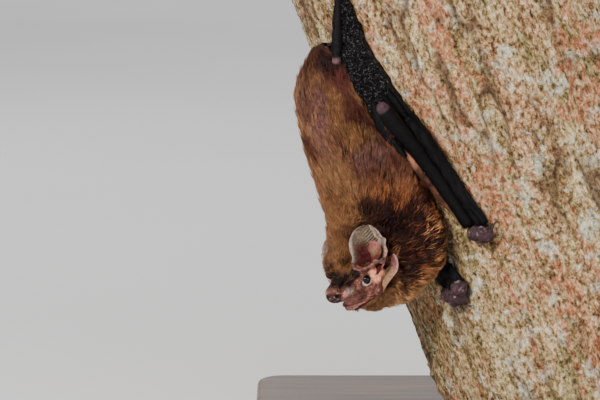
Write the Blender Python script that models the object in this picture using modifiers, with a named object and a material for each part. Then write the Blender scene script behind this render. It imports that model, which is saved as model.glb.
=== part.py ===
"""A lesser noctule bat at life size, clinging head down to a short cut length of trunk on a display stand.

The bat lies along the left front of a leaning log, belly to the bark. Its head is bent back through a
right angle, so that the face is upright and looks away from the trunk. Both wings are folded: each forearm
runs from a raised elbow beside the body down to a wrist on the bark, and the fingers fold back up along it
towards the ankle. The left leg holds on above the rump, the right one is drawn up beside it, and the tail
bends under the belly.

Most places are given in the log's own coordinates, in millimetres and degrees: how far down the trunk (the
bat's forward), the angle round it (0 is the left edge, 90 the front) and the height above the bark.
"""

from math import atan2, cos, degrees, pi, radians, sin

import bmesh
import bpy
import numpy as np
from mathutils import Matrix, Vector

MM = 0.001
GAP = 0.3  # between neighbouring solids

# The log: it leans to the left, and both ends are sawn level.
LEAN = radians(20.5)
LOG_RADIUS = 46.0
AXIS_AT = Vector((1.3, 0.0, 77.0))  # where the log's axis is at forward = 0
LOG_BOTTOM = 19.0
LOG_TOP = 152.0
LOG_SIDES = 44
LOG_LEVELS = 8
FURROW_DEPTH = 0.7
FORWARD = Vector((sin(LEAN), 0.0, -cos(LEAN)))
RIGHTWARD = Vector((cos(LEAN), 0.0, sin(LEAN)))
FRONTWARD = Vector((0.0, -1.0, 0.0))

# The stand
BASE_SIZE = (150.0, 112.0, 9.0)
BASE_CORNER = 7.0
ROD_RADIUS = 3.0
ROD_SPREAD = 21.0
ROD_INTO_LOG = 12.0

# The bat
RUMP, CHEST = -57.0, 0.0  # how far down the trunk
MIDLINE_AT_RUMP, MIDLINE_AT_CHEST = 34.0, 39.0  # angle of the spine round the trunk
HEAD_AT = (-0.5, 39.7, 24.8)  # the point between the eyes: forward, angle, height
HEAD_TURN = 54.3  # angle round the trunk that the muzzle points along
HEAD_LIFT = radians(6.9)  # the muzzle's tilt towards the tail
HEAD_ROLL = radians(7.3)  # the left side of the face is the lower
EYE_RADIUS = 1.1
EYE_AT = (0.0, 4.5, 0.2)  # nose, left, up from the point between the eyes
MEMBRANE = 0.6
SKIN_STEP = 0.55  # voxel of the remesh that joins torso, neck and head


def radial(angle):
    """Unit vector from the log's axis outwards, at an angle in degrees round it."""
    turn = radians(angle)
    return -cos(turn) * RIGHTWARD + sin(turn) * FRONTWARD


def around(angle):
    """Unit vector along the bark towards a larger angle, which is the bat's left."""
    turn = radians(angle)
    return sin(turn) * RIGHTWARD + cos(turn) * FRONTWARD


def on_log(forward, angle, height):
    return AXIS_AT + FORWARD * forward + radial(angle) * (LOG_RADIUS + height)


def midline(forward):
    share = (forward - RUMP) / (CHEST - RUMP)
    return MIDLINE_AT_RUMP + (MIDLINE_AT_CHEST - MIDLINE_AT_RUMP) * share


def on_body(forward, left, height):
    """A point beside the bat's spine: left is measured round the trunk at that height."""
    return on_log(forward, midline(forward) + degrees(left / (LOG_RADIUS + height)), height)


NOSEWARD = (radial(HEAD_TURN) * cos(HEAD_LIFT) - FORWARD * sin(HEAD_LIFT)).normalized()
HEAD_LEFT = around(HEAD_TURN) * cos(HEAD_ROLL) + FORWARD * sin(HEAD_ROLL)
HEAD_LEFT = (HEAD_LEFT - NOSEWARD * HEAD_LEFT.dot(NOSEWARD)).normalized()
HEAD_UP = NOSEWARD.cross(HEAD_LEFT)
BETWEEN_EYES = on_log(*HEAD_AT)


def on_head(nose, left, up):
    return BETWEEN_EYES + NOSEWARD * nose + HEAD_LEFT * left + HEAD_UP * up


def mirrored(point_of, side):
    """The same place function for the left side (1) or the right (-1)."""
    return lambda first, left, last: point_of(first, side * left, last)


def start():
    for thing in list(bpy.data.objects):
        bpy.data.objects.remove(thing, do_unlink=True)
    model = bpy.data.collections.new("lesser_noctule_bat")
    cutters = bpy.data.collections.new("cutters")
    for group in (model, cutters):
        bpy.context.scene.collection.children.link(group)
    return model, cutters


MODEL, CUTTERS = start()


def material(name, colour, roughness, metallic=0.0):
    made = bpy.data.materials.new(name)
    made.use_nodes = True
    shader = made.node_tree.nodes["Principled BSDF"]
    shader.inputs["Base Color"].default_value = (*colour, 1.0)
    shader.inputs["Roughness"].default_value = roughness
    shader.inputs["Metallic"].default_value = metallic
    return made


FUR = material("brown_fur", (0.21, 0.11, 0.06), 0.8)
WING = material("wing_skin", (0.012, 0.01, 0.011), 0.45)
WRIST = material("wrist_skin", (0.09, 0.055, 0.06), 0.5)
FACE = material("face_skin", (0.42, 0.24, 0.19), 0.5)
EAR = material("ear_skin", (0.2, 0.13, 0.1), 0.55)
EYE = material("eye", (0.004, 0.003, 0.003), 0.05)
CLAW = material("claw", (0.05, 0.035, 0.03), 0.35)
BARK = material("bark", (0.42, 0.3, 0.21), 0.9)
BASE_WOOD = material("base_wood", (0.09, 0.05, 0.03), 0.4)
STEEL = material("rod_steel", (0.6, 0.6, 0.6), 0.3, 1.0)


# Tools --------------------------------------------------------------------------------------------


def show(name, mesh, finish, group=MODEL):
    thing = bpy.data.objects.new(name, mesh)
    thing.data.materials.clear()
    thing.data.materials.append(finish)
    group.objects.link(thing)
    if group is CUTTERS:
        thing.hide_render = True
        thing.display_type = "WIRE"
    return thing


def mesh_of(name, made):
    """A mesh from a bmesh, with its faces pointing out."""
    bmesh.ops.recalc_face_normals(made, faces=made.faces)
    mesh = bpy.data.meshes.new(name)
    made.to_mesh(mesh)
    made.free()
    mesh.shade_smooth()
    return mesh


def settled_mesh(thing):
    graph = bpy.context.evaluated_depsgraph_get()
    return bpy.data.meshes.new_from_object(thing.evaluated_get(graph))


def settle(thing):
    """Applies an object's modifiers."""
    mesh = settled_mesh(thing)
    thing.modifiers.clear()
    thing.data = mesh
    return thing


def cut(thing, cutter):
    boolean = thing.modifiers.new("cut_" + cutter.name, "BOOLEAN")
    boolean.operation = "DIFFERENCE"
    boolean.object = cutter


def eased(rows, steps):
    """Rows of numbers with Catmull-Rom steps between them."""
    rows = np.array(rows, float)
    padded = np.vstack([2 * rows[0] - rows[1], rows, 2 * rows[-1] - rows[-2]])
    made = []
    for i in range(len(rows) - 1):
        a, b, c, d = padded[i : i + 4]
        for t in np.arange(steps) / steps:
            made.append(
                b + 0.5 * t * (c - a + t * (2 * a - 5 * b + 4 * c - d + t * (3 * (b - c) + d - a)))
            )
    return np.array([*made, rows[-1]])


def loft(name, sections, finish, sides=16, group=MODEL):
    """A closed skin over oval sections. Each is (centre, across, up, half width, rise, drop)."""
    made = bmesh.new()
    rings = []
    for centre, across, up, width, rise, drop in sections:
        ring = []
        for i in range(sides):
            turn = 2 * pi * i / sides
            lift = sin(turn) * (rise if sin(turn) > 0 else drop)
            ring.append(made.verts.new((centre + across * cos(turn) * width + up * lift) * MM))
        rings.append(ring)
    for low, high in zip(rings, rings[1:]):
        for i in range(sides):
            j = (i + 1) % sides
            made.faces.new((low[i], low[j], high[j], high[i]))
    made.faces.new(rings[0])
    made.faces.new(rings[-1])
    bmesh.ops.triangulate(made, faces=[f for f in made.faces if len(f.verts) > 4])
    return show(name, mesh_of(name, made), finish, group)


def sections_along(place, rows, steps, up_from=None):
    """Sections on a path of places, from rows of (first, second, third, width, rise, drop)."""
    rows = eased(rows, steps)
    centres = [place(*row[:3]) for row in rows]
    made = []
    for i, row in enumerate(rows):
        along = (centres[min(i + 1, len(rows) - 1)] - centres[max(i - 1, 0)]).normalized()
        if up_from is None:
            axis_to = centres[i] - AXIS_AT
            up = axis_to - FORWARD * axis_to.dot(FORWARD)
        else:
            up = up_from
        up = (up - along * up.dot(along)).normalized()
        made.append((centres[i], up.cross(along), up, *row[3:]))
    return made


def tube(name, points, radii, finish, steps=4, sides=10, flat=1.0, group=MODEL):
    """A round limb through points, with a radius at each; flat squeezes it towards the bark."""
    rows = [(*point, radius, radius * flat, radius * flat) for point, radius in zip(points, radii)]
    return loft(name, sections_along(lambda x, y, z: Vector((x, y, z)), rows, steps), finish, sides, group)


def blade(name, edges, finish, thickness=MEMBRANE, steps=2):
    """A thin sheet over rows of points, thickened both ways from its surface."""
    made = bmesh.new()
    grid = [[made.verts.new(point * MM) for point in row] for row in edges]
    for near, far in zip(grid, grid[1:]):
        for i in range(len(near) - 1):
            made.faces.new((near[i], near[i + 1], far[i + 1], far[i]))
    thing = show(name, mesh_of(name, made), finish)
    if steps:
        smooth = thing.modifiers.new("smooth", "SUBSURF")
        smooth.levels = smooth.render_levels = steps
    shell = thing.modifiers.new("thickness", "SOLIDIFY")
    shell.thickness = thickness * MM
    shell.offset = 0.0
    settle(thing)
    made = bmesh.new()
    made.from_mesh(thing.data)
    thing.data = mesh_of(name, made)
    return thing


def join(name, pieces, voxel, finish, faces, group=MODEL, smooth=0):
    """One closed solid from overlapping pieces: a voxel remesh, thinned to about that many faces."""
    made = bmesh.new()
    for piece in pieces:
        made.from_mesh(settle(piece).data)
        bpy.data.objects.remove(piece, do_unlink=True)
    thing = show(name, mesh_of(name, made), finish, group)
    remesh = thing.modifiers.new("join", "REMESH")
    remesh.mode = "VOXEL"
    remesh.voxel_size = voxel * MM
    if smooth:
        soften = thing.modifiers.new("soften", "SMOOTH")
        soften.factor = 0.5
        soften.iterations = smooth
    settle(thing)
    thin = thing.modifiers.new("thin", "DECIMATE")
    thin.ratio = min(1.0, faces / (2 * len(thing.data.polygons)))
    return settle(thing)


def swollen(thing, by, voxel=0.4):
    """A clean cutter that stands a little outside a solid. A plain tube needs no remesh: its voxel is 0."""
    copy = show(thing.name + "_clear", settled_mesh(thing), FUR, CUTTERS)
    swell = copy.modifiers.new("swell", "DISPLACE")
    swell.strength = by * MM
    swell.mid_level = 0.0
    if voxel:
        remesh = copy.modifiers.new("clean", "REMESH")
        remesh.mode = "VOXEL"
        remesh.voxel_size = voxel * MM
        thin = copy.modifiers.new("thin", "DECIMATE")
        thin.ratio = 0.15
    return settle(copy)


# The perch and the stand --------------------------------------------------------------------------


def furrow(angle, forward):
    """How far the bark's surface lies inside the log's radius: shallow furrows along the trunk."""
    turn = radians(angle)
    waves = sin(5 * turn + 0.9) + sin(11 * turn + 0.02 * forward + 2.0) + sin(17 * turn - 0.03 * forward)
    return FURROW_DEPTH * (0.5 + waves / 6)


def log_point(angle, height_z):
    """The bark's point at this angle and height above the floor."""
    forward = 0.0
    for _ in range(3):
        out = radial(angle) * (LOG_RADIUS - furrow(angle, forward))
        forward = (AXIS_AT.z + out.z - height_z) / cos(LEAN)
    return AXIS_AT + FORWARD * forward + out


def make_log():
    made = bmesh.new()
    rings = []
    for level in range(LOG_LEVELS + 1):
        height = LOG_BOTTOM + (LOG_TOP - LOG_BOTTOM) * level / LOG_LEVELS
        rings.append(
            [made.verts.new(log_point(360 * i / LOG_SIDES, height) * MM) for i in range(LOG_SIDES)]
        )
    for low, high in zip(rings, rings[1:]):
        for i in range(LOG_SIDES):
            j = (i + 1) % LOG_SIDES
            made.faces.new((low[i], low[j], high[j], high[i]))
    for ring in (rings[0], rings[-1]):
        made.faces.new(ring)
    log = show("trunk_length", mesh_of("trunk_length", made), BARK)
    for x in rod_places():
        top = LOG_BOTTOM + ROD_INTO_LOG + GAP
        hole = cylinder(f"hole_{x:.0f}", x, LOG_BOTTOM - 5, top, ROD_RADIUS + GAP, CUTTERS)
        cut(log, hole)
    settle(log)


def rod_places():
    """The rods stand under the middle of the log's sawn foot."""
    foot = AXIS_AT.x + (AXIS_AT.z - LOG_BOTTOM) * sin(LEAN) / cos(LEAN)
    return (foot - ROD_SPREAD, foot + ROD_SPREAD)


def cylinder(name, x, low, high, radius, group=MODEL):
    made = bmesh.new()
    bmesh.ops.create_cone(
        made, cap_ends=True, segments=24, radius1=radius * MM, radius2=radius * MM, depth=(high - low) * MM
    )
    rod = show(name, mesh_of(name, made), STEEL, group)
    rod.data.transform(Matrix.Translation(Vector((x, 0, (low + high) / 2)) * MM))
    return rod


def make_stand():
    made = bmesh.new()
    bmesh.ops.create_cube(made, size=1.0)
    bmesh.ops.scale(made, vec=Vector(BASE_SIZE) * MM, verts=made.verts)
    bmesh.ops.translate(made, vec=(0, 0, BASE_SIZE[2] / 2 * MM), verts=made.verts)
    upright = [e for e in made.edges if abs(e.verts[0].co.z - e.verts[1].co.z) > MM]
    bmesh.ops.bevel(made, geom=upright, offset=BASE_CORNER * MM, segments=5, affect="EDGES", profile=0.5)
    rim = [e for e in made.edges if min(v.co.z for v in e.verts) > (BASE_SIZE[2] - 0.1) * MM]
    bmesh.ops.bevel(made, geom=rim, offset=1.2 * MM, segments=2, affect="EDGES", profile=0.5)
    show("stand_base", mesh_of("stand_base", made), BASE_WOOD)
    for name, x in zip(("stand_rod_left", "stand_rod_right"), rod_places()):
        cylinder(name, x, BASE_SIZE[2] + GAP, LOG_BOTTOM + ROD_INTO_LOG, ROD_RADIUS)


# Torso, neck and head -----------------------------------------------------------------------------

# forward, left, height, half width, rise, drop
TORSO = (
    (-57.6, 1.6, 6.0, 1.2, 1.2, 1.2),
    (-56.2, 1.6, 6.4, 3.8, 3.6, 3.6),
    (-52.0, 1.3, 7.4, 6.6, 6.4, 6.0),
    (-44.0, 0.8, 8.8, 9.2, 8.6, 7.6),
    (-34.0, 0.4, 9.6, 10.6, 9.6, 8.2),
    (-24.0, 0.2, 10.6, 11.6, 9.2, 8.0),
    (-17.0, 0.0, 11.2, 12.2, 8.8, 7.0),
    (-11.0, 0.0, 10.8, 12.4, 6.6, 5.6),
    (-2.0, 0.0, 11.2, 12.2, 5.2, 5.0),
    (3.6, 0.0, 11.6, 11.0, 5.0, 5.0),
    (7.6, 0.0, 11.8, 8.8, 4.8, 4.8),
    (10.2, 0.0, 12.0, 5.6, 3.6, 3.6),
    (11.4, 0.0, 12.0, 2.0, 1.6, 1.6),
)
# The furred shoulder, from the hind end of the upper arm to the side of the throat
SHOULDER = (
    (-36.0, 8.2, 8.6, 2.6, 2.6, 2.6),
    (-30.0, 9.8, 8.6, 4.4, 4.2, 4.2),
    (-22.0, 10.8, 8.6, 5.4, 4.8, 4.8),
    (-12.0, 11.0, 8.4, 6.4, 5.0, 5.4),
    (-4.0, 10.8, 8.2, 6.8, 5.0, 5.2),
    (2.4, 8.8, 8.6, 6.0, 4.8, 4.8),
    (6.4, 6.6, 9.2, 4.8, 4.0, 4.0),
    (8.6, 5.0, 9.8, 2.2, 2.2, 2.2),
)
# nose, left, up, half width, rise, drop
NECK = (
    (-15.0, 0.0, 2.0, 6.0, 6.0, 6.0),
    (-12.5, 0.0, 0.8, 8.4, 8.4, 9.6),
    (-9.0, 0.0, 0.4, 8.0, 7.6, 10.4),
    (-5.0, 0.0, 0.4, 6.6, 6.6, 9.6),
    (-2.8, 0.0, 0.2, 5.0, 5.4, 8.0),
)
HEAD = (
    (-9.5, 0.0, 1.0, 4.0, 4.0, 4.0),
    (-7.5, 0.0, 1.0, 6.4, 6.0, 6.6),
    (-4.0, 0.0, 0.8, 6.2, 4.8, 6.4),
    (-1.4, 0.0, 0.6, 5.4, 3.5, 5.7),
    (1.2, 0.0, 0.0, 4.7, 3.2, 4.9),
    (3.2, 0.0, -0.9, 4.3, 3.1, 3.7),
    (5.2, 0.0, -1.6, 4.0, 2.6, 2.5),
    (7.0, 0.0, -2.0, 3.4, 2.0, 1.9),
    (8.4, 0.0, -2.2, 2.4, 1.5, 1.5),
    (9.2, 0.0, -2.2, 1.2, 0.8, 0.8),
)
# The thick fur of crown and nape, between the ears and over the right one: nose, left, up, and half sizes
FLUFF = (
    ((-2.0, -2.3, 4.0), (4.3, 4.7, 5.8)),
    ((-4.6, -2.4, 10.0), (4.6, 5.8, 6.6)),
    ((-5.6, -1.8, 15.5), (5.0, 6.0, 5.6)),
)
JAW = (
    (-4.2, 0.0, -5.4, 2.6, 1.0, 1.2),
    (-2.6, 0.0, -5.4, 4.0, 1.6, 1.7),
    (0.2, 0.0, -5.6, 3.7, 1.6, 1.6),
    (2.2, 0.0, -5.5, 3.0, 1.5, 1.6),
    (3.6, 0.0, -5.3, 2.2, 1.2, 1.3),
    (4.5, 0.0, -5.2, 1.0, 0.6, 0.7),
)
HEAD_CUT = -6.0  # nose coordinate of the cut behind the head
NECK_CUT = -9.0  # forward coordinate of the cut between neck and torso


def disc(name, centre, normal, radius):
    """A thin cutter across the body."""
    made = bmesh.new()
    bmesh.ops.create_cone(
        made, cap_ends=True, segments=32, radius1=radius * MM, radius2=radius * MM, depth=GAP * MM
    )
    thing = show(name, mesh_of(name, made), FUR, CUTTERS)
    turn = normal.to_track_quat("Z", "Y").to_matrix().to_4x4()
    thing.data.transform(Matrix.Translation(centre * MM) @ turn)
    return thing


def ball(name, centre, radius, finish, group=MODEL, segments=16):
    made = bmesh.new()
    bmesh.ops.create_uvsphere(made, u_segments=segments, v_segments=segments // 2, radius=radius * MM)
    bmesh.ops.translate(made, vec=centre * MM, verts=made.verts)
    return show(name, mesh_of(name, made), finish, group)


def egg(name, centre, sizes, segments=20):
    """An ellipsoid in the head's axes."""
    made = bmesh.new()
    bmesh.ops.create_uvsphere(made, u_segments=segments, v_segments=segments // 2, radius=MM)
    for vert in made.verts:
        nose, left, up = (size * x for size, x in zip(sizes, vert.co))
        vert.co = centre * MM + NOSEWARD * nose + HEAD_LEFT * left + HEAD_UP * up
    return show(name, mesh_of(name, made), FUR)


def islands(made):
    """The vertices of each loose part of a bmesh, largest first."""
    loose, seen = [], set()
    for first in made.verts:
        if first in seen:
            continue
        group, todo = set(), [first]
        while todo:
            vert = todo.pop()
            if vert not in group:
                group.add(vert)
                todo += [e.other_vert(vert) for e in vert.link_edges]
        seen |= group
        loose.append(group)
    return sorted(loose, key=len, reverse=True)


def split(thing, names):
    """Parts a cut solid into objects, each named by the point that it is nearest to."""
    made = bmesh.new()
    made.from_mesh(thing.data)
    for group in islands(made)[: len(names)]:
        middle = sum((v.co for v in group), Vector()) / len(group) / MM
        name = min(names, key=lambda n: (names[n][0] - middle).length)
        piece = bmesh.new()
        copies = {v: piece.verts.new(v.co) for v in group}
        for face in {f for v in group for f in v.link_faces}:
            piece.faces.new([copies[v] for v in face.verts])
        show(name, mesh_of(name, piece), names[name][1])
    made.free()
    bpy.data.objects.remove(thing, do_unlink=True)


def trim(thing, clears, faces):
    """Cuts a solid clear of its neighbours, thins it to about that many faces and keeps its largest part."""
    for clear in clears:
        cut(thing, clear)
    settle(thing)
    thing.data.calc_loop_triangles()
    thin = thing.modifiers.new("thin", "DECIMATE")
    thin.ratio = min(1.0, faces / len(thing.data.loop_triangles))
    settle(thing)
    made = bmesh.new()
    made.from_mesh(thing.data)
    spare = [v for group in islands(made)[1:] for v in group]
    bmesh.ops.delete(made, geom=spare, context="VERTS")
    made.to_mesh(thing.data)
    made.free()
    return thing


def make_trunk_of_body(grooves):
    """Torso, neck and head, modelled whole and parted with two thin cuts; the limbs clear the whole."""
    pieces = [
        loft("torso_form", sections_along(on_body, TORSO, 4), FUR, 24),
        loft("neck_form", sections_along(on_head, NECK, 4, HEAD_UP), FUR, 24),
        loft("head_form", sections_along(on_head, HEAD, 4, HEAD_UP), FUR, 24),
    ]
    pieces += [egg(f"fluff_form_{i}", on_head(*centre), sizes) for i, (centre, sizes) in enumerate(FLUFF)]
    for side in (1, -1):
        rows = sections_along(mirrored(on_body, side), SHOULDER, 3)
        pieces.append(loft(f"shoulder_form_{side}", rows, FUR, 18))
    whole = join("flesh", pieces, SKIN_STEP, FUR, 1150, smooth=5)
    clear = swollen(whole, GAP)
    for side in (1, -1):
        nose, left, up = EYE_AT
        socket = ball(f"socket_{side}", on_head(nose, side * left, up), EYE_RADIUS + GAP, FUR, CUTTERS)
        cut(whole, socket)
    for groove in grooves:
        cut(whole, groove)
    cut(whole, disc("head_cut", on_head(HEAD_CUT, -0.5, 0.5), NOSEWARD, 13.0))
    cut(whole, disc("neck_cut", on_body(NECK_CUT, 0, 12), FORWARD, 22.0))
    settle(whole)
    names = {
        "torso": (on_body(-30, 0, 9), FUR),
        "neck": (on_body(0, 0, 9), FUR),
        "head": (on_head(1, 0, 0), FACE),
    }
    split(whole, names)
    return clear


def make_face(clear):
    jaw = loft("lower_jaw", sections_along(on_head, JAW, 3, HEAD_UP), FACE, 14)
    trim(jaw, [clear], 220)
    for side, word in ((1, "left"), (-1, "right")):
        nose, left, up = EYE_AT
        ball(f"eye_{word}", on_head(nose, side * left, up), EYE_RADIUS, EYE, segments=12)


# Ears ---------------------------------------------------------------------------------------------

# Root of each ear as nose, left, up, and how far out its opening looks from straight ahead
EARS = {1: ((-1.8, 5.6, 1.2), radians(31)), -1: ((-4.0, 6.5, -1.2), radians(20))}
EAR_CUP = 2.6
EAR_LEAN = (0.04, 0.1)  # forward and outward, for each mm up
# up the ear: height, front edge, back edge, measured across the opening
EAR_ROWS = (
    (0.2, -3.0, 1.6),
    (1.6, -4.2, 3.0),
    (3.2, -4.7, 3.7),
    (5.0, -4.8, 4.05),
    (7.0, -4.9, 4.1),
    (8.6, -4.8, 3.7),
    (10.0, -4.4, 2.9),
    (11.2, -3.5, 2.0),
    (12.1, -1.8, 1.1),
)


def on_ear(side, across, up, deep):
    """A point of an ear: across its opening (backwards positive), up, and deep into the cup."""
    (nose, left, lift), faces = EARS[side]
    backward = -sin(faces) * across - cos(faces) * deep + EAR_LEAN[0] * up
    outward = cos(faces) * across - sin(faces) * deep + EAR_LEAN[1] * up
    return on_head(nose + backward, side * (left + outward), lift + up)


def make_ears(clear):
    shares = np.linspace(-1, 1, 7)
    for side, word in ((1, "left"), (-1, "right")):
        rows = []
        for up, front, back in EAR_ROWS:
            middle, half = (front + back) / 2, (back - front) / 2
            close = 1 - (up / 14.0) ** 2
            rows.append(
                [on_ear(side, middle + half * t, up, EAR_CUP * close * (0.6 - t * t)) for t in shares]
            )
        conch = blade(f"conch_{word}", rows, EAR, 0.8, steps=1)
        ear = join(f"ear_{word}", [conch, *make_lobe(side, word)], 0.3, EAR, 1000)
        ear_clear = swollen(ear, GAP)
        trim(ear, [clear], 520)
        make_tragus(side, word, clear, ear_clear)


# Rows of across, up, deep and half width
LOBE = (
    (5.5, 3.2, 1.0, 0.4),
    (5.5, 2.3, 1.0, 0.9),
    (5.2, 1.1, 1.2, 1.15),
    (4.3, -0.5, 1.4, 1.4),
    (3.1, -2.2, 1.5, 1.2),
    (2.1, -3.8, 1.1, 0.9),
    (1.1, -5.4, 0.5, 0.6),
)
TRAGUS = (
    (0.9, 3.0, -0.3, 0.9),
    (1.0, 4.0, -0.4, 1.1),
    (1.3, 5.2, -0.4, 1.6),
    (1.5, 6.4, -0.3, 1.5),
    (1.6, 7.3, -0.2, 0.7),
)
LOBE_ROOT = ((1.6, 1.6, 0.4), (4.2, 0.2, 1.2))  # the lobe's root under the ear: across, up, deep


def flap(name, side, path, thick):
    """A lobe that lies in the plane of the ear's opening."""
    facing = (on_ear(side, 0, 0, -1) - on_ear(side, 0, 0, 0)).normalized()
    rows = [(across, up, deep, wide, thick, thick) for across, up, deep, wide in path]
    place = lambda across, up, deep: on_ear(side, across, up, deep)
    return loft(name, sections_along(place, rows, 3, facing), EAR, 10)


def make_lobe(side, word):
    """The fold below and behind the ear, which runs on towards the mouth, and its root."""
    root = [on_ear(side, *place) for place in LOBE_ROOT]
    return flap(f"ear_lobe_{word}", side, LOBE, 0.6), tube(f"lobe_root_{word}", root, [0.8, 0.8], EAR, 2, 8)


def make_tragus(side, word, *clears):
    """The short, mushroom-shaped lobe in front of the ear's opening."""
    trim(flap(f"tragus_{word}", side, TRAGUS, 0.45), clears, 110)


# Wings --------------------------------------------------------------------------------------------

# Joints of each arm: forward, angle round the trunk, height
ARMS = {
    "left": {
        "shoulder": (-18.0, 52.5, 9.0),
        "elbow": (-39.0, 56.6, 13.0),
        "wrist": (-1.8, 63.2, 3.4),
        "pad": (-0.8, 63.8, 2.8),
        "knuckle": (0.5, 66.4, 2.5),
        "thumb": ((-0.2, 67.9, 1.9), (-1.0, 68.8, 1.5)),
        "claw": ((-1.2, 69.2, 1.5), (-1.7, 70.0, 1.4), (-1.6, 70.8, 0.6)),
        "fingers": (
            (-2.6, 67.2, 2.1),
            (-12, 63.3, 2.4),
            (-24, 59.6, 3.2),
            (-35, 56.6, 5.0),
            (-41, 54.6, 5.4),
        ),
    },
    "right": {
        "elbow": (-27.0, 22.0, 11.0),
        "wrist": (10.4, 50.8, 3.4),
        "pad": (12.2, 51.6, 2.8),
        "knuckle": (15.0, 48.4, 2.5),
        "thumb": ((16.4, 49.6, 1.9), (17.0, 50.6, 1.5)),
        "claw": ((17.2, 51.2, 1.5), (17.8, 51.8, 1.4), (17.8, 52.5, 0.6)),
        "fingers": (
            (10.4, 46.8, 2.1),
            (-1, 37.4, 2.0),
            (-13, 28.0, 2.4),
            (-24, 20.4, 4.0),
            (-30, 18.0, 5.0),
        ),
    },
}


def arm_line(word):
    elbow, wrist = (on_log(*ARMS[word][joint]) for joint in ("elbow", "wrist"))
    sag = radial(ARMS[word]["wrist"][1])
    return [elbow, elbow.lerp(wrist, 0.12), elbow.lerp(wrist, 0.5) - sag * 1.2, elbow.lerp(wrist, 0.96)]


def make_forearm(word):
    return tube(f"forearm_{word}", arm_line(word), [1.5, 2.2, 1.7, 1.5], WING, steps=3)


def make_upper_arm(word, body, forearm_clear):
    shoulder, elbow = on_log(*ARMS[word]["shoulder"]), on_log(*ARMS[word]["elbow"])
    upper = tube(f"upper_arm_{word}", [shoulder, shoulder.lerp(elbow, 0.5), elbow], [3.2, 2.7, 1.9], WING)
    upper_clear = swollen(upper, GAP, 0)
    trim(upper, [body, forearm_clear], 150)
    return upper_clear


def make_hand(word, *clears):
    """The wrist's pad with the short thumb, and the thumb's claw."""
    arm = ARMS[word]
    pad, knuckle = on_log(*arm["pad"]), on_log(*arm["knuckle"])
    forms = [
        ball(f"pad_{word}", pad, 2.3, WRIST, CUTTERS, 12),
        ball(f"knuckle_{word}", knuckle, 2.0, WRIST, CUTTERS, 12),
        ball(f"palm_{word}", pad.lerp(knuckle, 0.5), 2.3, WRIST, CUTTERS, 12),
    ]
    thumb = [knuckle, *(on_log(*place) for place in arm["thumb"])]
    forms.append(tube(f"digit_{word}", thumb, [1.2, 0.8, 0.6], WRIST, group=CUTTERS))
    hand = join(f"thumb_{word}", forms, 0.3, WRIST, 400, smooth=2)
    hand_clear, claw_clear = swollen(hand, GAP), swollen(hand, 0.15)
    trim(hand, clears, 190)
    path = [on_log(*place) for place in arm["claw"]]
    claw = tube(f"thumb_claw_{word}", path, [0.4, 0.36, 0.12], CLAW, 2, 6)
    trim(claw, [claw_clear], 60)
    return hand_clear


def make_arm(word, forearm, body):
    """An arm's parts round the forearm. The right upper arm lies wholly under the fur of the shoulder."""
    clears = [swollen(forearm, GAP, 0)]
    if "shoulder" in ARMS[word]:
        clears.append(make_upper_arm(word, body, clears[0]))
    hand_clear = make_hand(word, clears[0], body)
    widths = (1.0, 1.9, 2.1, 1.9, 1.0)
    rows = [(*place, wide, 1.1, 1.1) for place, wide in zip(ARMS[word]["fingers"], widths)]
    fingers = loft(f"fingers_{word}", sections_along(on_log, rows, 4), WING, 12)
    fingers_clear = swollen(fingers, GAP, 0)
    trim(fingers, [*clears, hand_clear, body], 240)
    return [fingers_clear, *clears]


# Rows of the folded wing between elbow and ankle: forward, inner angle and height, outer angle and height
FOLDED_WINGS = {
    "left": (
        (-26, 51.6, 5.0, 56.6, 2.6),
        (-36, 49.0, 7.6, 54.4, 2.4),
        (-42, 46.4, 7.4, 52.4, 2.2),
        (-48, 44.0, 7.0, 50.2, 2.0),
        (-54, 42.6, 6.6, 48.6, 1.8),
        (-60, 43.0, 3.8, 47.8, 1.8),
        (-66, 44.6, 2.2, 47.4, 1.8),
    ),
    "right": (
        (-23, 24.0, 6.0, 18.4, 2.6),
        (-29, 22.4, 6.4, 16.8, 2.4),
        (-33, 20.2, 6.4, 16.0, 2.2),
        (-40, 19.4, 6.0, 15.6, 2.0),
        (-46, 19.4, 4.4, 16.4, 1.8),
        (-48.5, 20.0, 2.8, 18.0, 1.6),
    ),
}
PLEATS = 4
PLEAT_DEPTH = 0.6
UNDERSIDE = 0.5  # height of the folded wing's underside


def make_folded_wing(word, *clears):
    """The bunched membrane between elbow and ankle: a thick strip, pleated along its length."""
    made = bmesh.new()
    rings = []
    for forward, angle, height, outer, low in eased(FOLDED_WINGS[word], 2):
        ring = []
        for i in range(2 * PLEATS + 1):
            share = i / (2 * PLEATS)
            pleat = PLEAT_DEPTH * (i % 2)
            place = (forward, angle + (outer - angle) * share, height + (low - height) * share - pleat)
            ring.append(made.verts.new(on_log(*place) * MM))
        for share in (1.0, 0.5, 0.0):
            ring.append(made.verts.new(on_log(forward, angle + (outer - angle) * share, UNDERSIDE) * MM))
        rings.append(ring)
    for low_ring, high_ring in zip(rings, rings[1:]):
        for i in range(len(low_ring)):
            j = (i + 1) % len(low_ring)
            made.faces.new((low_ring[i], low_ring[j], high_ring[j], high_ring[i]))
    for ring in (rings[0], rings[-1]):
        made.faces.new(ring)
    bmesh.ops.triangulate(made, faces=[f for f in made.faces if len(f.verts) > 4])
    form = show("pleated_form", mesh_of("pleated_form", made), WING)
    trim(join(f"wing_membrane_{word}", [form], 0.28, WING, 1400), clears, 420)


# Legs and tail ------------------------------------------------------------------------------------

# Hip, knee and ankle: forward, away from the midline, height. The right leg is drawn up beside the rump.
LEGS = {
    "left": ((-46.0, 6.0, 8.0), (-52.2, 9.6, 9.0), (-67.3, 11.6, 2.5)),
    "right": ((-41.0, 6.0, 8.0), (-33.5, 12.0, 7.6), (-46.8, 10.8, 2.5)),
}
TOES = 5
TOE_LENGTH = 3.6
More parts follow.
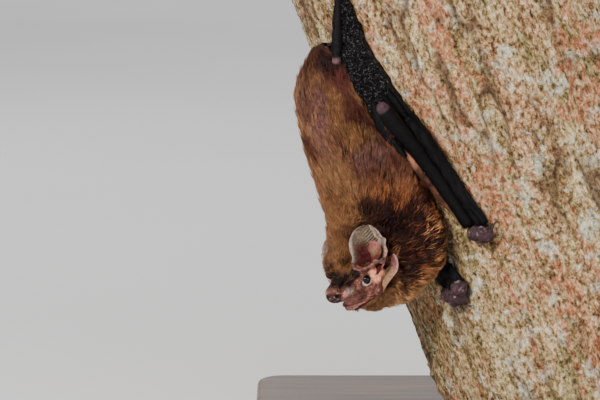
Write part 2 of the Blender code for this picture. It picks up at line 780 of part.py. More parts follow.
# The tail bends under the belly, where it lies in a groove: forward, left, height, radius
TAIL = (
    (-57.4, 0.5, 4.6, 1.2),
    (-56.4, 0.5, 3.2, 1.15),
    (-54.0, 0.5, 2.2, 1.0),
    (-50.0, 0.5, 1.8, 0.85),
    (-44.0, 0.5, 1.7, 0.7),
    (-37.0, 0.5, 1.8, 0.55),
    (-31.0, 0.5, 2.0, 0.35),
)
# forward, half width, height
TAIL_MEMBRANE = (
    (-57.6, 2.6, 4.2),
    (-57.9, 3.8, 3.2),
    (-57.6, 5.0, 1.8),
    (-55.6, 6.0, 0.7),
    (-51.0, 6.6, 0.45),
    (-45.0, 6.0, 0.4),
    (-40.0, 3.6, 0.4),
)


def make_leg(side, word, body):
    place = mirrored(on_body, side)
    hip, knee, ankle = (place(*joint) for joint in LEGS[word])
    thigh = tube(f"thigh_{word}", [hip, hip.lerp(knee, 0.6), knee], [3.6, 2.6, 1.5], FUR)
    thigh_clear = swollen(thigh, GAP, 0)
    trim(thigh, [body], 120)
    shank = tube(f"shank_{word}", [knee, knee.lerp(ankle, 0.4), ankle], [1.3, 1.15, 0.8], WING, sides=8)
    shank_clear = swollen(shank, GAP, 0)
    trim(shank, [thigh_clear, body], 160)
    make_foot(side, word, place, shank_clear)
    return thigh_clear, shank_clear


def make_foot(side, word, place, shank):
    forward, left, height = LEGS[word][2]
    sole = place(forward - 3.0, left + 0.5, 1.7)
    path = [place(forward, left, height), sole]
    forms = [tube(f"sole_{word}", path, [0.9, 1.5], WRIST, 3, 10, 0.6, CUTTERS)]
    claws = []
    for toe in range(TOES):
        spread = toe - (TOES - 1) / 2
        start_at = place(forward - 2.6, left + 0.5 + 0.42 * spread, 1.5)
        knuckle = place(forward - 2.6 - TOE_LENGTH * 0.55, left + 0.8 + 0.75 * spread, 1.9)
        end = place(forward - 2.6 - TOE_LENGTH, left + 1.0 + 1.0 * spread, 1.2)
        path = [start_at, knuckle, end]
        forms.append(tube(f"toe_{toe}_{word}", path, [0.6, 0.5, 0.4], WRIST, 3, 8, 1.0, CUTTERS))
        tip = [(3.9, 1.25, 1.4), (4.7, 1.32, 1.3), (5.2, 1.4, 0.5)]
        path = [place(forward - 2.6 - far, left + 1.0 + wide * spread * 0.8, high) for far, wide, high in tip]
        claws.append(tube(f"toe_claw_{word}_{toe + 1}", path, [0.3, 0.28, 0.1], CLAW, 1, 5))
    foot = join(f"foot_{word}", forms, 0.22, WRIST, 500, smooth=2)
    foot_clear = swollen(foot, 0.15, 0.25)
    trim(foot, [shank], 210)
    for claw in claws:
        trim(claw, [foot_clear], 40)


def make_tail():
    rows = [(*row[:3], row[3], row[3], row[3]) for row in TAIL]
    return loft("tail", sections_along(on_body, rows, 3, around(MIDLINE_AT_RUMP)), WING, 8)


def make_tail_membrane(*clears):
    """The sheet round the bend of the tail, which runs on under the belly."""
    rows = []
    for forward, half, height in TAIL_MEMBRANE:
        rows.append([on_body(forward, 0.5 + half * t, height + 0.1 * t * t) for t in np.linspace(-1, 1, 11)])
    trim(blade("tail_membrane", rows, WING, 0.4, steps=1), clears, 330)


# Every part, in order -----------------------------------------------------------------------------


def main():
    make_log()
    make_stand()
    forearms = {word: make_forearm(word) for word in ARMS}
    grooves = [swollen(forearm, GAP, 0) for forearm in forearms.values()]
    tail_clear = swollen(make_tail(), GAP, 0)
    body = make_trunk_of_body([*grooves, tail_clear])
    make_face(body)
    make_ears(body)
    for side, word in ((1, "left"), (-1, "right")):
        arm = make_arm(word, forearms[word], body)
        leg = make_leg(side, word, body)
        make_folded_wing(word, body, *arm, *leg)
    make_tail_membrane(body, tail_clear)


main()
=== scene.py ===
"""Looks of a lesser noctule bat that clings head down to a short cut length of trunk, on its display stand.

Shapes are worked out in millimetres and become metres when a mesh is made. Places are given on the log
(forward is down the trunk, an angle goes round it, height is above the bark), on the body (forward, left of
its midline, height) or on the head (nose, left, up).
"""

from functools import partial
from math import cos, pi, radians, sin
from types import SimpleNamespace

import bmesh
import bpy
import numpy as np
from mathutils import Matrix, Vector
from mathutils.bvhtree import BVHTree
from mathutils.kdtree import KDTree


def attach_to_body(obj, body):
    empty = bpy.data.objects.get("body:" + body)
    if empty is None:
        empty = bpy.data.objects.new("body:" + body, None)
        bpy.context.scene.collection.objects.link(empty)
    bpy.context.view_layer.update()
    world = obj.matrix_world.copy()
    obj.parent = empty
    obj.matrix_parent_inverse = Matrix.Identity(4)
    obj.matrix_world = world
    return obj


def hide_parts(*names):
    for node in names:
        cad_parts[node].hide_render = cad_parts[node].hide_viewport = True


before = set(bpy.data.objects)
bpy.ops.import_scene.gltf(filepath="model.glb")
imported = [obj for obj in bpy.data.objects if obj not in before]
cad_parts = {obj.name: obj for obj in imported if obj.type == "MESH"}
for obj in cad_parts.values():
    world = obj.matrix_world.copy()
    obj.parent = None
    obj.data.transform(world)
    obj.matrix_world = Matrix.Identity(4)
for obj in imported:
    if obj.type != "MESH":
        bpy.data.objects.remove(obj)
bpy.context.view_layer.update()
MM = 0.001

# Places

LEAN = radians(20.5)
LOG_RADIUS = 46.0
AXIS_AT = np.array((1.3, 0.0, 77.0))
LOG_BOTTOM, LOG_TOP = 19.0, 152.0
FORWARD = np.array((sin(LEAN), 0.0, -cos(LEAN)))
RIGHTWARD = np.array((cos(LEAN), 0.0, sin(LEAN)))
FRONTWARD = np.array((0.0, -1.0, 0.0))
RUMP, CHEST = -57.0, 0.0
MIDLINE_AT_RUMP, MIDLINE_AT_CHEST = 34.0, 39.0


def columns(*values):
    return np.stack(np.broadcast_arrays(*values), -1)


def between(start, end, share):
    return start + (end - start) * share


def unit(vectors):
    vectors = np.asarray(vectors, float)
    return vectors / np.maximum(np.linalg.norm(vectors, axis=-1, keepdims=True), 1e-9)


def radial(angle):
    turn = np.radians(np.asarray(angle, float))[..., None]
    return -np.cos(turn) * RIGHTWARD + np.sin(turn) * FRONTWARD


def around(angle):
    turn = np.radians(np.asarray(angle, float))[..., None]
    return np.sin(turn) * RIGHTWARD + np.cos(turn) * FRONTWARD


def on_log(forward, angle, height):
    forward, height = (np.asarray(x, float)[..., None] for x in (forward, height))
    return AXIS_AT + FORWARD * forward + radial(angle) * (LOG_RADIUS + height)


def midline(forward):
    """The angle of the body's midline round the log."""
    share = (np.asarray(forward, float) - RUMP) / (CHEST - RUMP)
    return between(MIDLINE_AT_RUMP, MIDLINE_AT_CHEST, share)


def on_body(forward, left, height):
    height = np.asarray(height, float)
    return on_log(forward, midline(forward) + np.degrees(left / (LOG_RADIUS + height)), height)


HEAD_TURN, HEAD_LIFT, HEAD_ROLL = 54.3, radians(6.9), radians(7.3)
NOSEWARD = unit(radial(HEAD_TURN) * cos(HEAD_LIFT) - FORWARD * sin(HEAD_LIFT))
HEAD_LEFT = around(HEAD_TURN) * cos(HEAD_ROLL) + FORWARD * sin(HEAD_ROLL)
HEAD_LEFT = unit(HEAD_LEFT - NOSEWARD * HEAD_LEFT.dot(NOSEWARD))
HEAD_UP = np.cross(NOSEWARD, HEAD_LEFT)
HEAD_AXES = np.array((NOSEWARD, HEAD_LEFT, HEAD_UP))
BETWEEN_EYES = on_log(-0.5, 39.7, 24.8)
HEAD_MIDDLE = np.array((-3.0, 0.0, 0.0))
EYE_RADIUS = 1.2
EYE_AT = np.array((0.3, 4.6, 0.15))


def on_head(nose, left, up):
    nose, left, up = (np.asarray(x, float)[..., None] for x in (nose, left, up))
    return BETWEEN_EYES + NOSEWARD * nose + HEAD_LEFT * left + HEAD_UP * up


def mirrored(place, side):
    """The same way to give places, turned to the animal's left for side 1 and to its right for side -1."""
    return lambda first, left, last: place(first, side * np.asarray(left, float), last)


def head_places(points):
    """Nose, left and up of points, as columns."""
    return (points - BETWEEN_EYES) @ HEAD_AXES.T


def half_face(points):
    """Head places with the right half folded onto the left."""
    nose, left, up = head_places(points).T
    return columns(nose, np.abs(left), up)


def log_places(points):
    """Forward, angle and height of points, as columns."""
    away = points - AXIS_AT
    across, front = away @ RIGHTWARD, away @ FRONTWARD
    angle = np.degrees(np.arctan2(front, -across))
    return columns(away @ FORWARD, angle, np.hypot(across, front) - LOG_RADIUS)


# Noise and curves


def hashed(cell, seed):
    """A random value from -1 to 1 for each cell of a grid."""
    mixed = cell.astype(np.uint32) * np.array((374761393, 668265263, 2246822519), np.uint32)
    value = mixed[..., 0] ^ mixed[..., 1] ^ mixed[..., 2] ^ np.uint32(seed * 747796405 % 2**32)
    value = (value ^ (value >> np.uint32(15))) * np.uint32(2246822519)
    value = (value ^ (value >> np.uint32(13))) * np.uint32(3266489917)
    return (value ^ (value >> np.uint32(16))).astype(np.float64) / 2**31 - 1.0


def noise(points, size, seed=0):
    """Smooth random values from -1 to 1, with features of this size in millimetres."""
    spread = points / size + 500.0
    cell = np.floor(spread).astype(np.int64)
    part = spread - cell
    part = part * part * (3 - 2 * part)
    total = 0.0
    for corner in range(8):
        step = np.array((corner & 1, corner >> 1 & 1, corner >> 2))
        total = total + np.where(step, part, 1 - part).prod(-1) * hashed(cell + step, seed)
    return total


def rough(points, size, octaves, seed):
    """Noise of this size with finer noise on it."""
    size = np.asarray(size, float)
    return sum(noise(points, size / 2**i, seed + i) * 0.5**i for i in range(octaves))


def speckle(points, size, octaves, seed):
    return 0.5 + 0.5 * rough(points, size, octaves, seed)


def fade(low, high, value):
    """0 at the first value, 1 at the second, whichever of them is higher."""
    share = np.clip((value - low) / (high - low), 0, 1)
    return share * share * (3 - 2 * share)


def bell(value, width):
    return np.exp(-((value / width) ** 2))


def eased(rows, steps):
    """Rows of numbers with Catmull-Rom steps between them."""
    rows = np.array(rows, float)
    padded = np.vstack([2 * rows[0] - rows[1], rows, 2 * rows[-1] - rows[-2]])
    made = []
    for i in range(len(rows) - 1):
        a, b, c, d = padded[i : i + 4]
        for t in np.arange(steps) / steps:
            made.append(b + 0.5 * t * (c - a + t * (2 * a - 5 * b + 4 * c - d + t * (3 * (b - c) + d - a))))
    return np.array([*made, rows[-1]])


def to_path(points, path):
    """Distance of each point from a line, and the share of the line up to the nearest place on it."""
    path = np.array(path, float)
    best, along = np.full(len(points), 1e9), np.zeros(len(points))
    for i in range(len(path) - 1):
        step = path[i + 1] - path[i]
        share = np.clip((points - path[i]) @ step / (step @ step), 0, 1)
        away = np.linalg.norm(points - path[i] - share[:, None] * step, axis=1)
        along = np.where(away < best, (i + share) / (len(path) - 1), along)
        best = np.minimum(best, away)
    return best, along


def linear(colour):
    """A linear colour: whole numbers are sRGB bytes, other triples are linear, one number is a grey."""
    value = np.array(colour if np.ndim(colour) else (colour,) * 3)
    if value.dtype.kind != "i":
        return value
    value = value / 255
    return np.where(value < 0.04045, value / 12.92, ((value + 0.055) / 1.055) ** 2.4)


def layered(base, *layers):
    """A colour for each point: each layer is a share from 0 to 1 and a colour."""
    colour = linear(base)
    for share, tone in layers:
        share = np.clip(share, 0, 1)[:, None]
        colour = colour * (1 - share) + linear(tone) * share
    return colour


# Meshes


def put(name, verts, faces):
    """A smooth mesh object from places in millimetres and arrays of faces."""
    mesh = bpy.data.meshes.new(name)
    faces = [np.asarray(f, np.int32) for f in faces if len(f)]
    loops = np.concatenate([f.ravel() for f in faces])
    sizes = np.concatenate([np.full(len(f), f.shape[1]) for f in faces])
    mesh.vertices.add(len(verts))
    mesh.vertices.foreach_set("co", (np.asarray(verts) * MM).astype(np.float32).ravel())
    mesh.loops.add(len(loops))
    mesh.loops.foreach_set("vertex_index", loops)
    mesh.polygons.add(len(sizes))
    mesh.polygons.foreach_set("loop_start", np.concatenate([[0], np.cumsum(sizes)[:-1]]).astype(np.int32))
    mesh.update(calc_edges=True)
    mesh.shade_smooth()
    thing = bpy.data.objects.new(name, mesh)
    bpy.context.scene.collection.objects.link(thing)
    return thing


def attach(thing, name, values):
    """Stores a number or a colour for each vertex."""
    values = np.asarray(values, np.float32)
    if values.ndim == 1:
        thing.data.attributes.new(name, "FLOAT", "POINT").data.foreach_set("value", values)
    else:
        wide = np.ones((len(values), 4), np.float32)
        wide[:, :3] = values
        thing.data.attributes.new(name, "FLOAT_COLOR", "POINT").data.foreach_set("color", wide.ravel())


def applied(form):
    """Vertices, quads and triangles of a form after its modifiers. The form itself is removed."""
    graph = bpy.context.evaluated_depsgraph_get()
    mesh = bpy.data.meshes.new_from_object(form.evaluated_get(graph))
    verts = np.empty(len(mesh.vertices) * 3, np.float32)
    mesh.vertices.foreach_get("co", verts)
    loops = np.empty(len(mesh.loops), np.int32)
    mesh.loops.foreach_get("vertex_index", loops)
    starts, sizes = np.empty((2, len(mesh.polygons)), np.int32)
    mesh.polygons.foreach_get("loop_start", starts)
    mesh.polygons.foreach_get("loop_total", sizes)
    bpy.data.objects.remove(form, do_unlink=True)
    groups = [loops[starts[sizes == n][:, None] + np.arange(n)] for n in (4, 3)]
    return verts.reshape(-1, 3).astype(float) / MM, groups


def merged(shells, voxel, rounds):
    """One closed surface round overlapping shells, softened."""
    form = put("form", *together(shells))
    join = form.modifiers.new("join", "REMESH")
    join.mode, join.voxel_size = "VOXEL", voxel * MM
    soften = form.modifiers.new("soften", "SMOOTH")
    soften.factor, soften.iterations = 0.5, rounds
    return applied(form)


def tree_of(verts, faces):
    return BVHTree.FromPolygons(verts.tolist(), [p for group in faces for p in group.tolist()])


def vertex_normals(verts, faces):
    total = np.zeros_like(verts)
    for group in faces:
        if len(group):
            corners = verts[group]
            first = 1 if group.shape[1] == 4 else 0
            normal = np.cross(corners[:, 2] - corners[:, 0], corners[:, -1] - corners[:, first])
            for k in range(group.shape[1]):
                np.add.at(total, group[:, k], normal)
    return unit(total)


def ring_faces(rings, sides, closed=True):
    """Quads between rings of vertices that follow each other."""
    i, j = np.meshgrid(np.arange(rings - 1), np.arange(sides if closed else sides - 1), indexing="ij")
    i, j = i.ravel() * sides, j.ravel()
    k = (j + 1) % sides
    return columns(i + j, i + k, i + sides + k, i + sides + j)


def capped(rings):
    """A closed shell from an array (rings, sides, 3), with a middle vertex at each end."""
    count, sides = rings.shape[:2]
    verts = np.vstack([rings.reshape(-1, 3), rings[0].mean(0), rings[-1].mean(0)])
    j = np.arange(sides)
    k = (j + 1) % sides
    top = (count - 1) * sides
    low = columns(k, j, count * sides)
    high = columns(j + top, k + top, count * sides + 1)
    return verts, [ring_faces(count, sides), np.vstack([low, high])]


def frames_along(centres, up=None):
    """Sideways and upward directions along a line; up is away from the log unless it is given."""
    along = unit(np.gradient(centres, axis=0))
    if up is None:
        away = centres - AXIS_AT
        up = away - (away @ FORWARD)[:, None] * FORWARD
    up = unit(up - (along * up).sum(-1, keepdims=True) * along)
    return np.cross(up, along), up


def loft(place, rows, steps, sides, up=None):
    """Closed shell over oval sections; each row is three coordinates, half width, rise and drop."""
    rows = eased(rows, steps)
    centres = place(rows[:, 0], rows[:, 1], rows[:, 2])
    across, up = frames_along(centres, up)
    turn = 2 * pi * np.arange(sides) / sides
    wide = np.cos(turn) * rows[:, 3:4]
    lift = np.where(np.sin(turn) > 0, rows[:, 4:5], rows[:, 5:6]) * np.sin(turn)
    return capped(centres[:, None] + across[:, None] * wide[..., None] + up[:, None] * lift[..., None])


def tube(points, radii, steps, sides, flat=1.0):
    rows = [(*point, radius, radius * flat, radius * flat) for point, radius in zip(points, radii)]
    return loft(columns, rows, steps, sides)


def egg(centre, sizes, sides=24):
    """An ellipsoid shell with its half sizes along the head's axes."""
    lean = pi * (np.arange(sides // 2 - 1) + 1) / (sides // 2)
    turn = 2 * pi * np.arange(sides) / sides
    lean = lean[:, None]
    local = columns(np.sin(lean) * np.cos(turn), np.sin(lean) * np.sin(turn), np.cos(lean))
    return capped(centre + (local * np.array(sizes)) @ HEAD_AXES)


def together(shells):
    """One set of vertices and faces from several shells."""
    verts, quads, tris, base = [], [], [], 0
    for points, faces in shells:
        verts.append(points)
        for group in faces:
            if len(group):
                (quads if group.shape[1] == 4 else tris).append(np.asarray(group) + base)
        base += len(points)
    return np.vstack(verts), [np.vstack(g) for g in (quads, tris) if g]


# Materials


class Paint:
    """One material and the nodes that feed its shader."""

    def __init__(self, name):
        self.material = bpy.data.materials.new(name)
        self.material.use_nodes = True
        self.tree = self.material.node_tree

    def feed(self, socket, value):
        if isinstance(value, bpy.types.NodeSocket):
            self.tree.links.new(value, socket)
        elif value is not None:
            socket.default_value = value

    def node(self, kind, inputs=(), output=0, **settings):
        made = self.tree.nodes.new("ShaderNode" + kind)
        for name, value in settings.items():
            setattr(made, name, value)
        for key, value in dict(inputs).items():
            self.feed(made.inputs[key], value)
        return made.outputs[output]

    def set(self, **values):
        shader = self.tree.nodes["Principled BSDF"]
        for name, value in values.items():
            self.feed(shader.inputs[name.replace("_", " ")], value)
        return self

    def stretched(self, where, scale):
        return self.node("Mapping", {0: where, 3: scale})

    def place(self, scale=(1, 1, 1)):
        """Object coordinates in millimetres, stretched."""
        return self.stretched(self.node("TexCoord", output=3), [s / MM for s in scale])

    def attribute(self, name, output=0):
        return self.node("Attribute", output=output, attribute_name=name)

    def noise(self, where, scale, detail=4.0, roughness=0.6):
        inputs = {"Vector": where, "Scale": scale, "Detail": detail, "Roughness": roughness}
        return self.node("TexNoise", inputs)

    def cells(self, where, scale):
        return self.node("TexVoronoi", {"Vector": where, "Scale": scale})

    def ramp(self, value, stops):
        """A colour ramp over stops, each a place and a colour."""
        made = self.tree.nodes.new("ShaderNodeValToRGB")
        self.tree.links.new(value, made.inputs[0])
        while len(made.color_ramp.elements) < len(stops):
            made.color_ramp.elements.new(0.5)
        for element, (at, colour) in zip(made.color_ramp.elements, stops):
            element.position = at
            element.color = (*linear(colour), 1.0)
        return made.outputs[0]

    def mix(self, share, first, second, blend="MIX"):
        sockets = bpy.types.NodeSocket
        first, second = (x if isinstance(x, sockets) else (*linear(x), 1.0) for x in (first, second))
        return self.node("Mix", {0: share, 6: first, 7: second}, 2, data_type="RGBA", blend_type=blend)

    def sum(self, operation, first, second):
        return self.node("Math", {0: first, 1: second}, operation=operation)

    def bump(self, height, strength, distance=0.0001, normal=None):
        inputs = {"Strength": strength, "Distance": distance, "Height": height, "Normal": normal}
        return self.node("Bump", inputs)


def dress(thing, paint):
    thing.data.materials.clear()
    thing.data.materials.append(paint.material)


def finish_piece(thing, paint, slot, *nodes):
    dress(thing, paint)
    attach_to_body(thing, "root")
    if nodes:
        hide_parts(*nodes)


# Camera and light

TARGET = np.array((-62.7, -36.0, 77.0))
CAMERA_AWAY, CAMERA_RISE = 600.0, radians(10)
LENS, SENSOR = 144.0, 36.0
FLOOR_WIDE, FLOOR_FRONT, FLOOR_BACK = 2600, -3000, 1700
WALL_CURVE, WALL_TOP = 900, 3000
FLOOR_STEPS = 40


def aim(thing, place, target=TARGET):
    way = Vector(np.asarray(target, float) - np.asarray(place, float))
    thing.location = Vector(place) * MM
    thing.rotation_euler = way.to_track_quat("-Z", "Y").to_euler()
    bpy.context.scene.collection.objects.link(thing)


def make_camera():
    lens = bpy.data.cameras.new("camera")
    lens.lens, lens.sensor_width = LENS, SENSOR
    lens.clip_start, lens.clip_end = 0.01, 30.0
    camera = bpy.data.objects.new("camera", lens)
    aim(camera, TARGET + CAMERA_AWAY * np.array((0, -cos(CAMERA_RISE), sin(CAMERA_RISE))))
    bpy.context.scene.camera = camera


def lamp(name, place, size, power, colour=(1, 1, 1), target=TARGET):
    light = bpy.data.lights.new(name, "AREA")
    light.size, light.energy, light.color = size, power, colour
    aim(bpy.data.objects.new(name, light), place, target)


def make_light():
    lamp("key", (-380, -680, 460), 0.14, 11.5, (1.0, 0.975, 0.94))
    lamp("fill", (520, -600, 260), 0.5, 3.4, (0.96, 0.98, 1.0))
    lamp("back", (-300, 500, 600), 0.5, 3.0)
    lamp("backdrop", (0, 1500, 1500), 1.4, 24.0, target=(0, 1600, 0))
    world = bpy.data.worlds.new("studio")
    world.use_nodes = True
    colour, strength, *_ = world.node_tree.nodes["Background"].inputs
    colour.default_value, strength.default_value = (0.9, 0.93, 1.0, 1.0), 0.17
    bpy.context.scene.world = world


def make_floor():
    """A pale floor that curves up into a pale wall behind the log."""
    turn = np.linspace(0, pi / 2, FLOOR_STEPS)
    depth = FLOOR_BACK + WALL_CURVE * np.sin(turn)
    height = WALL_CURVE - WALL_CURVE * np.cos(turn)
    depth = np.concatenate([[FLOOR_FRONT], depth, [FLOOR_BACK + WALL_CURVE]])
    height = np.concatenate([[0], height, [WALL_TOP]])
    across = np.array((-FLOOR_WIDE, FLOOR_WIDE))
    grid = columns(across[:, None], depth, height)
    faces = ring_faces(*grid.shape[:2], closed=False)[:, ::-1]
    floor = put("floor", grid.reshape(-1, 3), [faces])
    paint = Paint("pale_floor")
    cloud = paint.noise(paint.place(), 0.004, 2.0)
    shades = [(0.3, (0.62, 0.62, 0.61)), (0.7, (0.66, 0.66, 0.65))]
    dress(floor, paint.set(Base_Color=paint.ramp(cloud, shades), Roughness=0.85))


make_camera()
make_light()
make_floor()

# The log


def furrow(angle, forward):
    """The CAD log's own shallow furrows, as a depth below its radius."""
    turn = np.radians(angle)
    waves = np.sin(5 * turn + 0.9) + np.sin(11 * turn + 0.02 * forward + 2.0)
    waves = waves + np.sin(17 * turn - 0.03 * forward)
    return 0.7 * (0.5 + waves / 6)


def bark_relief(angle, forward):
    """Rise of the bark above the furrows, and how deep in a crack and how rusty each place is."""
    turn = np.radians(angle)
    where = columns(LOG_RADIUS * np.cos(turn), LOG_RADIUS * np.sin(turn), forward)
    bent = where + 1.6 * columns(noise(where, 7.0, 3), noise(where, 7.0, 4), 3 * noise(where, 9.0, 5))
    plates = noise(bent, np.array((4.6, 4.6, 21.0)), 11) + 0.5 * noise(bent, np.array((2.4, 2.4, 9.0)), 12)
    crack = 1 - fade(0.02, 0.3, np.abs(plates))
    crack *= fade(-0.5, 0.3, noise(where, np.array((9.0, 9.0, 18.0)), 13))
    crust = fade(-0.1, 0.5, rough(where, 5.5, 3, 20) + 0.35 * np.abs(plates))
    streak = noise(bent, np.array((4.2, 4.2, 30.0)), 31) + 0.3 * rough(bent, 2.2, 2, 32)
    rust = bell(streak - 0.12, 0.09) * fade(-0.3, 0.2, noise(where, np.array((9.0, 9.0, 26.0)), 33))
    grain = rough(where, 1.3, 2, 40) * (0.6 + 0.8 * crust)
    scales = 1 - np.abs(rough(bent, np.array((1.9, 1.9, 3.4)), 2, 50))
    knobs = np.maximum(noise(where, 1.9, 60), 0) * fade(-0.2, 0.5, noise(where, 8.0, 61))
    rise = 0.35 * plates + 0.42 * (scales - 0.7) + 0.3 * grain + 0.5 * knobs - 0.6 * crack - 0.2 * rust
    return rise, crack, rust


def bark_points(angle, level):
    """Places on the bark at these angles and heights over the floor, with their marks."""
    forward = np.zeros_like(angle)
    for _ in range(3):
        rise, *marks = bark_relief(angle, forward)
        out = radial(angle) * (LOG_RADIUS - furrow(angle, forward) + rise)[..., None]
        forward = (AXIS_AT[2] + out[..., 2] - level) / cos(LEAN)
    return AXIS_AT + FORWARD * forward[..., None] + out, marks


BARK_FRONT = np.arange(-14, 194, 0.7)
BARK_BEHIND = np.arange(194, 346, 1.7)
BARK_LEVELS, SAWN_RINGS = 240, 25
HEARTWOOD = 42.6


def make_bark():
    """The log: its bark, finer on the side that the bat is on, and its two sawn ends."""
    levels = np.linspace(LOG_BOTTOM, LOG_TOP, BARK_LEVELS)
    angle, level = np.meshgrid(np.concatenate([BARK_FRONT, BARK_BEHIND]), levels)
    points, marks = bark_points(angle, level)
    shares = np.linspace(1, 0.02, SAWN_RINGS + 1)[1:, None, None]
    ends = []
    for rim, height in ((points[0], LOG_BOTTOM), (points[-1], LOG_TOP)):
        middle = AXIS_AT + FORWARD * (AXIS_AT[2] - height) / cos(LEAN)
        ends.append(middle + (rim - middle) * shares)
    verts, faces = capped(np.concatenate([ends[0][::-1], points, ends[1]]))
    thing = put("bark", verts, faces)
    for name, values, at_ends in zip(("crack", "rust", "sawn"), (*marks, 0 * angle), (0.0, 0.0, 1.0)):
        values = np.pad(values, ((SAWN_RINGS, SAWN_RINGS), (0, 0)), constant_values=at_ends)
        attach(thing, name, np.append(values, (at_ends, at_ends)))
    away = verts - AXIS_AT
    attach(thing, "trunkwise", columns(away @ RIGHTWARD, away @ FRONTWARD, away @ FORWARD))
    finish_piece(thing, bark_paint(), "bark", "trunk_length")


# The bark's colours, from the bottom of its grain to the top: its own tones, with painted shade in the depths
# of the grain and painted highlight on its tips
TAN = ((0.39, (58, 34, 22)), (0.47, (152, 106, 70)), (0.54, (208, 164, 120)), (0.62, (255, 222, 176)))
CREAM = ((0.39, (66, 52, 32)), (0.46, (168, 138, 92)), (0.53, (226, 198, 146)), (0.61, (255, 242, 206)))
OLIVE = ((0.39, (34, 30, 18)), (0.47, (112, 92, 54)), (0.55, (172, 150, 98)), (0.64, (232, 214, 164)))
LICHEN = ((0.38, (110, 108, 92)), (0.48, (206, 196, 170)), (0.58, (252, 246, 228)))
ORANGE = ((0.36, (104, 52, 32)), (0.48, (198, 112, 78)), (0.6, (236, 168, 130)))
CRACK = ((0.36, (26, 18, 14)), (0.6, (112, 80, 58)))


def bark_paint():
    paint = Paint("bark")
    where = paint.attribute("trunkwise", 1)
    long = paint.stretched(where, (1.0, 1.0, 0.28))
    fine = paint.noise(paint.stretched(where, (1.0, 1.0, 0.62)), 1.0, 8.0, 0.8)
    tan, cream, olive, lichen, orange, crack = (
        paint.ramp(fine, shades) for shades in (TAN, CREAM, OLIVE, LICHEN, ORANGE, CRACK)
    )
    broad = paint.ramp(paint.noise(long, 0.12, 6.0, 0.7), [(0.44, 0.0), (0.56, 1.0)])
    streaks = paint.ramp(paint.noise(long, 0.17, 7.0, 0.74), [(0.49, 0.0), (0.56, 0.9)])
    crusts = paint.ramp(paint.noise(where, 0.19, 8.0, 0.75), [(0.54, 0.0), (0.6, 0.9)])
    specks = paint.ramp(paint.noise(where, 1.6, 5.0, 0.75), [(0.58, 0.0), (0.66, 0.75)])
    rust = paint.ramp(paint.noise(where, 0.9, 4.0, 0.7), [(0.36, 0.3), (0.52, 0.85)])
    base = paint.mix(broad, tan, cream)
    base = paint.mix(streaks, base, olive)
    base = paint.mix(crusts, base, lichen)
    base = paint.mix(specks, base, (52, 38, 28))
    base = paint.mix(paint.sum("MULTIPLY", paint.attribute("rust", 2), rust), base, orange)
    # the cracks darkened: partly the bark's own colour, partly painted shade
    base = paint.mix(paint.sum("MULTIPLY", paint.attribute("crack", 2), 0.85), base, crack)
    # the sawn ends: year rings round the middle of the log, and a dark rind
    flat = paint.node("VectorMath", {0: where, 1: (1.0, 1.0, 0.0)}, operation="MULTIPLY")
    far = paint.node("VectorMath", {0: flat}, 1, operation="LENGTH")
    far = paint.sum("ADD", far, paint.sum("MULTIPLY", paint.noise(flat, 0.06, 2.0), 6.0))
    wave = paint.sum("SINE", paint.sum("MULTIPLY", far, 4.2), 0.0)
    wood = paint.ramp(paint.sum("MULTIPLY_ADD", wave, 0.35), [(0.0, (176, 140, 98)), (1.0, (222, 194, 150))])
    pale = paint.ramp(paint.noise(where, 2.0, 5.0), [(0.4, 0.0), (0.7, 0.5)])
    wood = paint.mix(pale, wood, (196, 160, 116))
    wood = paint.mix(paint.sum("GREATER_THAN", far, HEARTWOOD), wood, (96, 62, 42))
    colour = paint.mix(paint.attribute("sawn", 2), base, wood)
    bump = paint.bump(fine, 1.0, 0.0016)
    bump = paint.bump(paint.cells(where, 1.9), 0.4, 0.0004, bump)
    return paint.set(Base_Color=colour, Roughness=0.88, Normal=bump, Specular_IOR_Level=0.25)


make_bark()

# The stand


def paint_stand():
    wood = Paint("base_wood")
    grain = wood.noise(wood.place((0.06, 1.0, 1.0)), 0.5, 6.0, 0.6)
    fine = wood.noise(wood.place((0.1, 2.0, 2.0)), 2.0, 4.0, 0.6)
    browns = [(0.3, (0.035, 0.018, 0.01)), (0.5, (0.085, 0.045, 0.025)), (0.7, (0.16, 0.09, 0.05))]
    wood.set(Base_Color=wood.mix(0.35, wood.ramp(grain, browns), fine, "MULTIPLY"), Roughness=0.42)
    wood.set(Coat_Weight=0.25, Coat_Roughness=0.2, Normal=wood.bump(fine, 0.15))
    steel = Paint("rod_steel")
    brushed = steel.ramp(steel.noise(steel.place((8.0, 8.0, 0.4)), 1.0, 3.0), [(0.3, 0.22), (0.7, 0.38)])
    steel.set(Base_Color=(0.6, 0.6, 0.6, 1), Metallic=1.0, Roughness=brushed)
    for name, paint in (("stand_base", wood), ("stand_rod_left", steel), ("stand_rod_right", steel)):
        dress(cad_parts[name], paint)


paint_stand()

# The flesh

# forward, left, height, half width, rise, drop
TORSO = (
    (-56.2, 1.6, 5.6, 1.2, 1.0, 1.2),
    (-54.9, 1.6, 6.0, 3.6, 2.6, 3.4),
    (-51.4, 1.3, 7.2, 6.5, 5.0, 5.8),
    (-47.6, 1.0, 8.2, 8.2, 7.2, 6.8),
    (-44.0, 0.8, 8.8, 9.2, 8.6, 7.6),
    (-34.0, 0.4, 9.6, 10.6, 9.6, 8.2),
    (-24.0, 0.2, 10.6, 11.6, 9.2, 8.0),
    (-17.0, 0.0, 11.2, 12.2, 8.8, 7.0),
    (-11.0, 0.0, 10.8, 12.4, 6.6, 5.6),
    (-2.0, 0.0, 11.2, 12.2, 5.2, 5.0),
    (3.6, 0.0, 11.6, 11.0, 5.0, 5.0),
    (7.6, 0.0, 11.8, 7.8, 4.8, 4.8),
    (10.2, 0.0, 12.0, 5.6, 3.6, 3.6),
    (11.4, 0.0, 12.0, 2.0, 1.6, 1.6),
)
